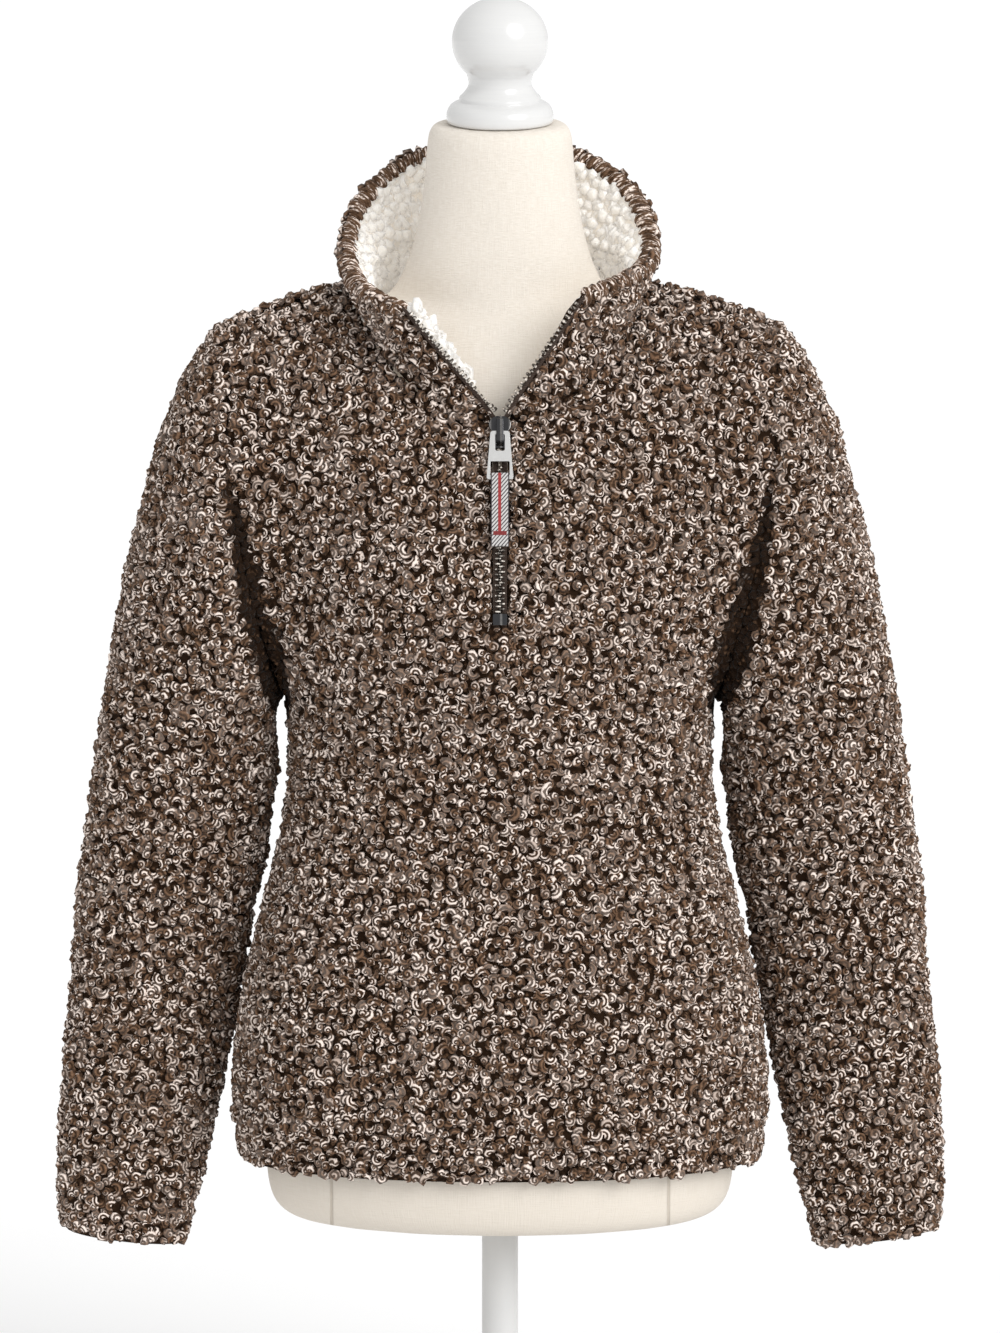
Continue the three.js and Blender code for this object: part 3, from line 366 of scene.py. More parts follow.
class Finish:
    """One material, with its nodes and its surface"""

    def __init__(self, name, **constants):
        self.material = bpy.data.materials.new(name)
        self.material.use_nodes = True
        self.tree = self.material.node_tree
        self.shader = next(n for n in self.tree.nodes if n.type == "BSDF_PRINCIPLED")
        self.surface(**constants)

    def node(self, kind, settings=None, inputs=None, output=0):
        node = self.tree.nodes.new("ShaderNode" + kind)
        for name, value in (settings or {}).items():
            setattr(node, name, value)
        for socket, value in (inputs or {}).items():
            self.put(node.inputs[socket], value)
        return Wire(self, node.outputs[output])

    def put(self, socket, value):
        if isinstance(value, Wire):
            self.tree.links.new(value.socket, socket)
        elif socket.type == "RGBA":
            socket.default_value = (*value, 1.0)
        else:
            socket.default_value = value

    def surface(self, **values):
        for name, value in values.items():
            self.put(self.shader.inputs[name.replace("_", " ").title().replace("Ior", "IOR")], value)

    def math(self, operation, *values):
        return self.node("Math", {"operation": operation}, dict(enumerate(values)))

    def mix(self, a, b, share):
        return self.node("Mix", {"data_type": "RGBA"}, {0: share, 6: a, 7: b}, output=2)

    def place(self):
        return self.node("TexCoord", output="Object")

    def along(self, name):
        uv = self.node("UVMap", {"uv_map": name})
        return self.xyz(uv)[:2]

    def xyz(self, vector):
        node = self.tree.nodes.new("ShaderNodeSeparateXYZ")
        self.put(node.inputs[0], vector)
        return [Wire(self, out) for out in node.outputs]

    def vector(self, x, y, z):
        return self.node("CombineXYZ", None, {0: x, 1: y, 2: z})

    def grade(self, name):
        return self.node("Attribute", {"attribute_name": name}, output="Fac")

    def noise(self, scale, detail=2.0, vector=None):
        inputs = {"Vector": vector or self.place(), "Scale": scale, "Detail": detail}
        return self.node("TexNoise", None, inputs)

    def cells(self, scale):
        """Distance from the nearest of scattered points"""
        return self.node("TexVoronoi", None, {"Vector": self.place(), "Scale": scale})

    def bump(self, height, distance, strength=1.0):
        inputs = {"Strength": strength, "Distance": distance, "Height": height}
        self.surface(normal=self.node("Bump", None, inputs))

    def finish(self, piece):
        if piece.data.materials:
            piece.data.materials[0] = self.material
        else:
            piece.data.materials.append(self.material)


def coiled(finish, turns):
    """How far up the ridge of a coiled strand a spot is, and how far round the coil it is, for a curl
    seen from above"""
    u, v = finish.along("yarn")
    round_about = v.math("ARCTAN2", u) / math.tau
    out = (u * u + v * v).math("SQRT")
    strand = (out * turns + round_about + 5.0 * finish.grade("tone")).part()
    return 1.0 - 2.0 * abs(strand - 0.5), round_about


def marled_yarn(settings):
    """Curls of brown yarn with a cream strand, with painted shade at their roots and in the grooves of the
    drawn coil
    """
    yarn = Finish("marled_yarn", **MARL)
    tone = yarn.grade("tone")
    ridge, round_about = coiled(yarn, 1.8)
    fibre = yarn.noise(FIBRE, detail=3.0)
    crescent = (round_about + 9.0 * tone + 0.35 * fibre).wave().step(0.28, 0.68)
    share = 0.4 + 0.6 * (tone * 23.0).part().step(0.1, 0.5)
    light = (ridge + 0.7 * fibre).step(0.72, 1.0) * crescent * share
    # Painted shade: the grooves between the coil's ridges take the dark strand, and the fibre noise adds
    # more of it
    deep = ridge.step(0.1, 0.8) * 0.75 + 0.25 * fibre.step(0.3, 0.7)
    brown = yarn.mix(settings.dark, settings.brown, deep)
    pale = yarn.mix(brown, settings.cream, (tone * 11.0).part().step(0.4, 1.0) * 0.12)
    fleck = yarn.mix(pale, settings.cream, light)
    # Painted shade: the curls turn to the dark ground colour towards their roots and by their share of
    # painted shade
    yarn.surface(base_color=yarn.mix(settings.root, fleck, yarn.grade("tip").step(0.0, 0.62)))
    yarn.bump(ridge.step(0.0, 0.9) + 0.4 * fibre, distance=0.0016, strength=0.8)
    return yarn


def marled_cord(settings):
    """The same yarn laid as cord round the rim, with short flecks along it and painted shade low on each
    loop
    """
    cord = Finish("marled_cord", **MARL)
    around, along = cord.along("yarn")
    tone = cord.grade("tone")
    ply = cord.vector(8.0 * around + 31.0 * tone, 1.7 * along + 1.2 * around + 17.0 * tone, 43.0 * tone)
    strands = cord.noise(1.0, detail=2.0, vector=ply)
    fibre = cord.noise(FIBRE, detail=3.0)
    light = strands.step(0.53, 0.64) * fibre.step(0.30, 0.52)
    deep = strands.step(0.34, 0.54) * 0.6 + 0.4 * fibre.step(0.3, 0.7)
    brown = cord.mix(settings.dark, settings.brown, deep * 0.75)
    fleck = cord.mix(brown, settings.cream, light)
    # Painted shade: the cord turns to the dark ground colour low on each loop
    cord.surface(base_color=cord.mix(settings.root, fleck, cord.grade("tip").step(0.02, 0.72)))
    cord.bump(strands + 0.7 * fibre, distance=0.0009, strength=0.7)
    return cord


def ground_knit(settings):
    """Short brown loops of the ground under the pile"""
    knit = Finish("ground_knit", roughness=0.95, specular_ior_level=0.1)
    loops = 1.0 - knit.cells(scale=190.0).step(0.12, 0.62)
    spread = knit.noise(SPREAD, detail=3.0)
    yarn = knit.mix(settings.dark, settings.brown, spread.step(0.3, 0.7) * 0.9)
    knit.surface(base_color=knit.mix(settings.root, yarn, loops))
    knit.bump(loops + 0.4 * spread, distance=0.003)
    return knit


def cream_yarn(settings):
    """Soft cream tufts with painted shade at their roots and in the coil's grooves, and painted light of
    their own
    """
    tufts = Finish(
        "cream_yarn", roughness=0.92, sheen_weight=0.8, sheen_roughness=0.5, specular_ior_level=0.15, **SOFT
    )
    ridge, _ = coiled(tufts, 1.2)
    fibre = tufts.noise(FIBRE, detail=3.0)
    curl = tufts.mix(settings.shade, settings.cream, ridge * 0.7 + fibre * 0.3)
    # Painted shade: the tufts turn to the shade colour towards their roots
    tufts.surface(base_color=tufts.mix(settings.shade, curl, tufts.grade("tip").step(0.0, 0.6)))
    # Painted light: the tufts shine with their own light though they are no lamp
    tufts.surface(emission_color=settings.cream, emission_strength=settings.painted_glow)
    tufts.bump(ridge.step(0.0, 0.9) + fibre, distance=0.0012, strength=0.6)
    return tufts


def cream_ground(settings):
    """Ground of the lining between its tufts, with painted shade between the drawn tufts and painted light
    of its own
    """
    ground = Finish("cream_ground", roughness=0.95, specular_ior_level=0.1, **SOFT)
    tufts = 1.0 - ground.cells(scale=180.0).step(0.1, 0.65)
    spread = ground.noise(SPREAD, detail=3.0)
    ground.surface(base_color=ground.mix(settings.shade, settings.cream, tufts * 0.7 + spread * 0.3))
    # Painted light: the ground shines with its own light though it is no lamp
    ground.surface(emission_color=settings.cream, emission_strength=settings.painted_glow)
    ground.bump(tufts + 0.4 * spread, distance=0.003)
    return ground


def woven_tape(settings):
    """Zip tape with its ribs"""
    tape = Finish("woven_tape", roughness=0.85, specular_ior_level=0.2)
    _, y, z = tape.xyz(tape.place())
    ribs = ((z + y * 0.5) * 900.0).wave()
    wear_and_highlight = tape.noise(300.0, detail=3.0)
    tape.surface(base_color=tape.mix(settings.tape, settings.rib, ribs * wear_and_highlight * 0.7))
    tape.bump(ribs, distance=0.0003)
    return tape


def antique_metal(settings):
    """Darkened teeth, brighter in patches that are partly wear and partly painted glints"""
    metal = Finish("antique_metal", metallic=1.0, roughness=0.34)
    wear_and_glint = metal.noise(SPREAD, detail=3.0)
    # Patches of wear that also stand in for painted glints
    metal.surface(
        base_color=metal.mix(settings.teeth, settings.wear_and_glint, wear_and_glint.step(0.44, 0.62)),
        roughness=0.24 + 0.25 * wear_and_glint,
    )
    return metal


def gunmetal(settings):
    """Polished dark plating with fine marks, and painted highlights along the wings' edges and down the
    bridge
    """
    plate = Finish("gunmetal", metallic=1.0, roughness=0.26)
    marks = plate.noise(900.0, detail=4.0)
    x, _, _ = plate.xyz(plate.place())
    # Painted highlights: a light band along the wings' edges and a bright line down the bridge, broken up by
    # the marks
    wings = abs(x).step(0.0052, 0.0076)
    bridge = 1.0 - abs(x - 0.0008).step(0.0004, 0.0011)
    wear_and_glint = wings + 0.7 * bridge
    plate.surface(
        base_color=plate.mix(settings.gunmetal, settings.wear_and_highlight, wear_and_glint * (0.5 + marks * 0.6)),
        roughness=0.16 + 0.2 * marks,
    )
    plate.bump(marks, distance=0.00005, strength=0.4)
    return plate


def satin_nickel(settings):
    """Brushed nickel of the pull tab"""
    nickel = Finish("satin_nickel", metallic=1.0, roughness=0.3)
    x, y, z = nickel.xyz(nickel.place())
    brushed = nickel.noise(1.0, detail=3.0, vector=nickel.vector(x * 4200.0, y * 260.0, z * 260.0))
    nickel.surface(
        base_color=nickel.mix(settings.nickel, settings.brushed, brushed * 0.5),
        roughness=0.2 + 0.25 * brushed,
    )
    nickel.bump(brushed, distance=0.00006, strength=0.5)
    return nickel


def striped_webbing(settings):
    """Narrow webbing: slanting stripes, dark edges, a red middle stripe and a red bar tack"""
    web = Finish("striped_webbing", roughness=0.8, specular_ior_level=0.25, sheen_weight=0.1)
    across, along = web.along("webbing")
    ribs = (along * 1400.0).wave()
    slant = (along / settings.stripe + across * settings.width * 1.2 / settings.stripe).part()
    stripes = (1.0 - slant.step(0.38, 0.50)) * slant.step(0.0, 0.12)
    edge = abs(across - 0.5)
    cloth = web.mix(settings.white, settings.dark, stripes)
    before_end = 1.0 - along.step(settings.end, settings.end + 0.0004)
    middle = (1.0 - abs(across - 0.48).step(0.075, 0.095)) * before_end
    cloth = web.mix(cloth, settings.red, middle)
    cloth = web.mix(cloth, settings.dark, edge.step(0.43, 0.46))
    tack = (1.0 - abs(along - settings.tack).step(0.0013, 0.0016)) * (1.0 - edge.step(0.36, 0.38))
    cloth = web.mix(cloth, settings.red, tack)
    web.surface(base_color=web.mix(cloth, settings.dark, (1.0 - ribs) * 0.28))
    web.bump(ribs + tack * (across * 26.0).wave() * 2.0, distance=0.00025)
    return web


def linen_cover(settings):
    """Linen with uneven threads and two long seams, and painted shade towards the bottom"""
    linen = Finish("linen_cover", roughness=0.92, specular_ior_level=0.15, sheen_weight=0.08)
    x, _, z = linen.xyz(linen.place())
    around, up = linen.along("linen")
    warp = linen.noise(1.0, detail=2.0, vector=linen.vector(around * THREADS, up * SLUBS, 0.0))
    weft = linen.noise(1.0, detail=2.0, vector=linen.vector(around * SLUBS, up * THREADS, 4.0))
    threads = warp + weft
    seam = abs(abs(x) - settings.seam)
    groove = 1.0 - seam.step(0.0004, 0.0016)
    shade = threads.step(0.75, 1.3)
    cloth = linen.mix(settings.linen, settings.slub, 0.75 - 0.75 * shade)
    # Painted shade: the cover turns darker towards the bottom, under the hem
    cloth = linen.mix(settings.low, cloth, 0.35 + 0.65 * z.step(0.25, 0.42))
    linen.surface(base_color=linen.mix(cloth, settings.groove, groove * 0.55))
    linen.bump(threads - 2.0 * groove, distance=0.0005, strength=0.7)
    return linen


def white_lacquer(settings):
    """Gloss lacquer on turned wood"""
    lacquer = Finish("white_lacquer", roughness=0.2, coat_weight=0.6, coat_roughness=0.08)
    x, y, z = lacquer.xyz(lacquer.place())
    turned = lacquer.noise(1.0, detail=2.0, vector=lacquer.vector(x * 30.0, y * 30.0, z * 900.0))
    lacquer.surface(
        base_color=lacquer.mix(settings.lacquer, settings.grain, turned * 0.35),
        roughness=0.14 + 0.16 * turned,
    )
    lacquer.bump(turned, distance=0.00008, strength=0.5)
    return lacquer


def white_paint(settings):
    """Sprayed satin paint on steel"""
    paint = Finish("white_paint", roughness=0.42)
    peel = paint.noise(520.0, detail=2.0)
    dust = paint.noise(24.0, detail=4.0)
    paint.surface(
        base_color=paint.mix(settings.paint, settings.dust, dust.step(0.45, 0.9) * 0.5),
        roughness=0.34 + 0.2 * peel,
    )
    paint.bump(peel, distance=0.00012, strength=0.5)
    return paint


def new_piece(name, mesh, finish, body=PULLOVER):
    piece = bpy.data.objects.new(name, mesh)
    bpy.context.scene.collection.objects.link(piece)
    finish.finish(piece)
    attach(piece, body)
    return piece


def node_form(node):
    """The node's solid with its corners joined"""
    form = bmesh.new()
    form.from_mesh(frame["nodes"][node].data)
    bmesh.ops.remove_doubles(form, verts=form.verts, dist=1e-6)
    form.normal_update()
    form.verts.index_update()
    form.faces.index_update()
    form.faces.ensure_lookup_table()
    return form


def as_mesh(form, name, smooth=True):
    for face in form.faces:
        face.smooth = smooth
    mesh = bpy.data.meshes.new(name)
    form.to_mesh(mesh)
    form.free()
    return mesh


def cloth_sides(form, sharp=math.radians(38)):
    """Sets of faces that run on without a sharp edge, the largest first: the outer side, the inner side,
    then the cut edges"""
    seen = set()
    sides = []
    for start in form.faces:
        if start.index in seen:
            continue
        seen.add(start.index)
        side, waiting = [], [start]
        while waiting:
            face = waiting.pop()
            side.append(face)
            for edge in face.edges:
                if len(edge.link_faces) != 2 or edge.calc_face_angle() > sharp:
                    continue
                for other in edge.link_faces:
                    if other.index not in seen:
                        seen.add(other.index)
                        waiting.append(other)
        sides.append(sorted(side, key=lambda f: f.index))
    first, second, *edges = sorted(sides, key=lambda side: -sum(f.calc_area() for f in side))
    shared = {v.index for f in first for v in f.verts} & {v.index for f in second for v in f.verts}
    if len(first) > len(second):
        edges.append([f for f in first if any(v.index in shared for v in f.verts)])
        first = [f for f in first if not any(v.index in shared for v in f.verts)]
    return [first, second, *(side for side in edges if side)]


def side_normals(faces):
    """Each vertex's direction from the faces of one side alone"""
    sums = {}
    for face in faces:
        for vert in face.verts:
            sums.setdefault(vert.index, Vector())
            sums[vert.index] += face.normal * face.calc_area()
    return {index: total.normalized() for index, total in sums.items()}


def free_edges(faces):
    """Edges of one side of the cloth, each with its face"""
    mine = {f.index for f in faces}
    pairs = ((edge, face) for face in faces for edge in face.edges)
    return [(edge, face) for edge, face in pairs if sum(f.index in mine for f in edge.link_faces) == 1]


def sunk_shell(form, outside, depth, lap=0.0):
    """Moves one side of the cloth in, to where the pile grows from; a seam's edge goes straight through
    the wall, less far under the arm, and laps over the seam"""
    normals = side_normals(outside)
    beyond = {}
    for edge, face in free_edges(outside):
        first, second = edge.verts
        way = (second.co - first.co).cross(face.normal).normalized()
        way *= 1 if way.dot((first.co + second.co) / 2 - face.calc_center_median()) > 0 else -1
        for vert in edge.verts:
            beyond[vert.index] = beyond.get(vert.index, Vector()) + way
    form.verts.ensure_lookup_table()
    moves = {}
    for index, normal in normals.items():
        vert = form.verts[index]
        move = -normal * depth
        far = [edge.other_vert(vert).co - vert.co for edge in vert.link_edges]
        far = [way for edge, way in zip(vert.link_edges, far) if edge.other_vert(vert).index not in normals]
        if far:
            under = under_arm(vert.co) if lap else 0
            move = min(far, key=lambda way: way.length).normalized() * depth * (1 - ARM_SEAM * under)
            move += beyond.get(index, Vector()).normalized() * lap
        moves[vert] = move
    for vert, move in moves.items():
        vert.co += move


def under_arm(spot):
    """1 under the arms and 0 away from them"""
    beside = (abs(spot[0]) - 0.12) / 0.02
    below = (0.74 - spot[2]) / 0.08
    above = (spot[2] - 0.56) / 0.02
    return math.prod(min(max(share, 0), 1) for share in (beside, below, above))


def unit(vectors):
    return vectors / np.linalg.norm(vectors, axis=1, keepdims=True)


def run_along(line):
    """How far along a line of points each of them is"""
    return np.concatenate([[0], np.cumsum(np.linalg.norm(np.diff(line, axis=0), axis=1))])


def between(line, knots, spots):
    """Places along a line of points, by the knots that count along it"""
    return np.stack([np.interp(spots, knots, line[:, c]) for c in range(3)], axis=1)


def scatter(faces, spacing, rng, crowd=30.0):
    """Points over the faces, none nearer to another than the spacing, and the surface's direction there"""
    normals = side_normals(faces)
    corners = np.array([[v.co for v in f.verts] for f in faces])
    slopes = np.array([[normals[v.index] for v in f.verts] for f in faces])
    areas = np.array([f.calc_area() for f in faces])
    count = int(areas.sum() * crowd / spacing**2)
    chosen = rng.choice(len(faces), count, p=areas / areas.sum())
    share = np.sqrt(rng.random(count))
    turn = rng.random(count)
    weights = np.stack([1 - share, share * (1 - turn), share * turn], axis=1)
    points = np.einsum("nk,nkc->nc", weights, corners[chosen])
    slopes = unit(np.einsum("nk,nkc->nc", weights, slopes[chosen]))
    cells = np.floor(points / spacing).astype(int)
    near = [(i, j, k) for i in (-1, 0, 1) for j in (-1, 0, 1) for k in (-1, 0, 1)]
    filled, kept = {}, []
    for index, (cell, point) in enumerate(zip(cells.tolist(), points.tolist())):
        clear = True
        for i, j, k in near:
            for x, y, z in filled.get((cell[0] + i, cell[1] + j, cell[2] + k), ()):
                if (x - point[0]) ** 2 + (y - point[1]) ** 2 + (z - point[2]) ** 2 < spacing**2:
                    clear = False
                    break
            if not clear:
                break
        if clear:
            filled.setdefault(tuple(cell), []).append(point)
            kept.append(index)
    return points[kept], slopes[kept]


def yarn_tube(path, radii, sides, beside):
    """A closed length of yarn along a path in the plane across beside: points, faces, and how far around
    and along the yarn each face's corners are"""
    path = np.asarray(path, float)
    radii = np.asarray(radii, float)
    tangents = unit(np.gradient(path, axis=0))
    side = unit(np.cross(tangents, beside))
    up = np.cross(side, tangents)
    angles = math.tau * np.arange(sides) / sides
    ring = side[:, None] * np.cos(angles)[None, :, None] + up[:, None] * np.sin(angles)[None, :, None]
    rings = (path[:, None] + ring * radii[:, None, None])[1:-1]
    points = np.concatenate([path[:1], rings.reshape(-1, 3), path[-1:]])
    count = len(rings)
    last = len(points) - 1
    faces, places = [], []
    steps = np.linspace(0, 1, count + 2)
    for j in range(sides):
        k = (j + 1) % sides
        left, right = j / sides, (j + 1) / sides
        faces.append((0, 1 + j, 1 + k))
        places.append(((left, 0), (left, steps[1]), (right, steps[1])))
        for i in range(count - 1):
            low, high = 1 + i * sides, 1 + (i + 1) * sides
            here, there = steps[i + 1], steps[i + 2]
            faces.append((low + j, high + j, high + k, low + k))
            places.append(((left, here), (left, there), (right, there), (right, here)))
        top = 1 + (count - 1) * sides
        faces.append((top + j, last, top + k))
        places.append(((left, steps[-2]), (left, 1), (right, steps[-2])))
    return points, faces, places


def curl_shapes(curl, yarn):
    """Short curls of yarn to scatter, closed and open ones, with each corner's place as seen from above"""
    rng = np.random.default_rng(CURL_SEED)
    shapes = []
    for sweep, wide, lift, fat, rings in CURLS:
        ends = np.sin(np.linspace(-math.pi / 2, math.pi / 2, rings + 2))
        turn, radius = ends * sweep, curl * wide
        bend = radius * np.cos(turn), radius * np.sin(turn) * CURL_STRETCH, curl * lift * (1 - ends**2)
        path = np.stack(bend, axis=1)
        path -= path.mean(axis=0)
        thick = yarn * fat * np.interp(np.abs(ends), *CURL_PROFILE)
        points, faces, _ = yarn_tube(path, thick, 6 if rings == 3 else 5, (0, 0, 1))
        points = points * rng.uniform(*CURL_UNEVEN, (len(points), 1))
        seen = points[:, :2] / (CURL_SEEN * yarn)
        shapes.append((points, faces, [[tuple(seen[k]) for k in face] for face in faces]))
    return shapes


def join_tubes(name, tubes):
    """One mesh of many lengths of yarn, given as the copies' points, their shared faces and places along
    the yarn, tones and tips"""
    points, starts, corners, places, tones, tips = [], [], [], [], [], []
    base, loop = 0, 0
    for blocks, faces, spots, tone, tip in tubes:
        copies, each = blocks.shape[:2]
        flat = np.concatenate([np.array(face) for face in faces])
        totals = np.array([len(face) for face in faces])
        first = np.concatenate([[0], np.cumsum(totals)[:-1]])
        shift = np.arange(copies)[:, None]
        corners.append((flat[None] + shift * each + base).ravel())
        starts.append((first[None] + shift * len(flat) + loop).ravel())
        places.append(np.tile(np.concatenate([np.array(spot) for spot in spots]), (copies, 1)))
        tones.append(np.repeat(tone, each))
        tips.append(tip.ravel())
        points.append(blocks.reshape(-1, 3))
        base += copies * each
        loop += copies * len(flat)
    points, corners, starts = np.concatenate(points), np.concatenate(corners), np.concatenate(starts)
    mesh = bpy.data.meshes.new(name)
    mesh.vertices.add(len(points))
    mesh.vertices.foreach_set("co", points.astype(np.float32).ravel())
    mesh.loops.add(len(corners))
    mesh.loops.foreach_set("vertex_index", corners.astype(np.int32))
    mesh.polygons.add(len(starts))
    mesh.polygons.foreach_set("loop_start", starts.astype(np.int32))
    mesh.polygons.foreach_set("use_smooth", np.ones(len(starts), bool))
    mesh.update(calc_edges=True)
    spread = mesh.uv_layers.new(name="yarn")
    spread.data.foreach_set("uv", np.concatenate(places).astype(np.float32).ravel())
    for grade, values in (("tone", tones), ("tip", tips)):
        attribute = mesh.attributes.new(grade, "FLOAT", "POINT")
        attribute.data.foreach_set("value", np.concatenate(values).astype(np.float32))
    return mesh


def laid_curls(name, shapes, points, slopes, sizes, rng, painted_shade=None):
    """Curls lying on the cloth, each turned and tilted its own way, with painted shade towards their roots
    and, by a given share, over the whole curl
    """
    count = len(points)
    up = unit(slopes + rng.normal(size=(count, 3)) * CURL_TILT)
    across = unit(np.cross(up, rng.normal(size=(count, 3))))
    turns = np.stack([across, np.cross(up, across), up], axis=2) * sizes[:, None, None]
    tones = rng.random(count)
    kinds = rng.integers(0, len(shapes), count)
    unshaded_share = 1 - (np.zeros(count) if painted_shade is None else painted_shade)
    tubes = []
    for kind, (shape, faces, places) in enumerate(shapes):
        mine = kinds == kind
        blocks = np.einsum("nij,pj->npi", turns[mine], shape)
        heights = np.einsum("npi,ni->np", blocks, slopes[mine])
        # Painted shade: share of full colour, less towards the roots and by each curl's given share
        tips = np.clip(0.5 + heights / CURL_HEIGHT, 0, 1) * unshaded_share[mine][:, None]
        tubes.append((blocks + points[mine][:, None], faces, places, tones[mine], tips))
    return join_tubes(name, tubes)


def strip_path(node):
    """Middle, width direction and outward direction of a flat strip's sections, from its lower end up"""
    form = node_form(node)
    corners = sorted((v.co.copy() for v in form.verts), key=lambda p: p.z)
    form.free()
    sections = [corners[i : i + 4] for i in range(0, len(corners), 4)]
    path = []
    for section in sections:
        first, *others = section
        thin, wide, _ = sorted(others, key=lambda p: (p - first).length)
        middle = sum(section, Vector()) / 4
        out = (first - thin).normalized()
        out = out if out.y < 0 else -out
        path.append((middle, (wide - first), out))
    return path


def zip_line():
    """Points close together along both tapes"""
    lines = []
    for node in ZIP_TAPES:
        middles = np.array([middle for middle, wide, out in strip_path(node)])
        knots = np.arange(len(middles))
        lines.append(between(middles, knots, np.linspace(0, knots[-1], ZIP_POINTS)))
    return np.concatenate(lines)


def armhole_line():
    """Points close together along both armhole seams"""
    line = []
    for node in ("sleeve_left", "sleeve_right"):
        form = node_form(node)
        for edge, face in free_edges(cloth_sides(form)[OUTSIDE]):
            first, second = (vert.co.copy() for vert in edge.verts)
            if min(first.z, second.z) > ARMHOLES_ABOVE:
                line.extend(first.lerp(second, t) for t in np.linspace(0, 1, SEAM_POINTS))
        form.free()
    return np.array(line)


def rim_edge(node, side):
    """The upper edge of one side of the cloth, from the right front round the back, at even steps"""
    form = node_form(node)
    sides = cloth_sides(form)
    top = max(sides[2:], key=lambda faces: sum(f.normal.z * f.calc_area() for f in faces))
    rim = {v.index for f in top for v in f.verts}
    found = {v.index: v.co.copy() for f in sides[side] for v in f.verts if v.index in rim}
    line = np.array(sorted(found.values(), key=lambda p: math.atan2(p.x, p.y)))
    form.free()
    way = run_along(line)
    return between(line, way, np.linspace(0, way[-1], RIM_POINTS))


def nearness(points, line):
    """Distance of each point from the nearest of the line's"""
    gaps = [np.linalg.norm(line - point, axis=1).min() for point in points]
    return np.array(gaps)


def turned(name, profile, steps, place=Matrix()):
    """A turned piece: the profile spun round the upright axis"""
    form = bmesh.new()
    verts = [form.verts.new((r, 0, z)) for r, z in profile]
    edges = [form.edges.new(pair) for pair in zip(verts, verts[1:])]
    bmesh.ops.spin(
        form, geom=verts + edges, cent=(0, 0, 0), axis=(0, 0, 1), angle=math.tau, steps=steps,
        use_merge=True,
    )
    bmesh.ops.remove_doubles(form, verts=form.verts, dist=1e-6)
    bmesh.ops.recalc_face_normals(form, faces=form.faces)
    bmesh.ops.transform(form, matrix=place, verts=form.verts)
    return as_mesh(form, name)


def bevelled(form, edges, offset, segments):
    bmesh.ops.bevel(
        form, geom=edges, offset=offset, offset_type="OFFSET", affect="EDGES", segments=segments,
        profile=0.5, material=-1, clamp_overlap=True,
    )


def soft_edges(piece, width, segments=2):
    bevel = piece.modifiers.new("edges", "BEVEL")
    bevel.width = width
    bevel.segments = segments
    bevel.limit_method = "ANGLE"
    bevel.angle_limit = math.radians(32)
    bevel.use_clamp_overlap = True


def metal_copy(name, node):
    """The node's solid with flat faces made whole, ready for rounded edges"""
    form = node_form(node)
    bmesh.ops.dissolve_limit(form, angle_limit=math.radians(1.0), verts=form.verts, edges=form.edges)
    return as_mesh(form, name, smooth=False)


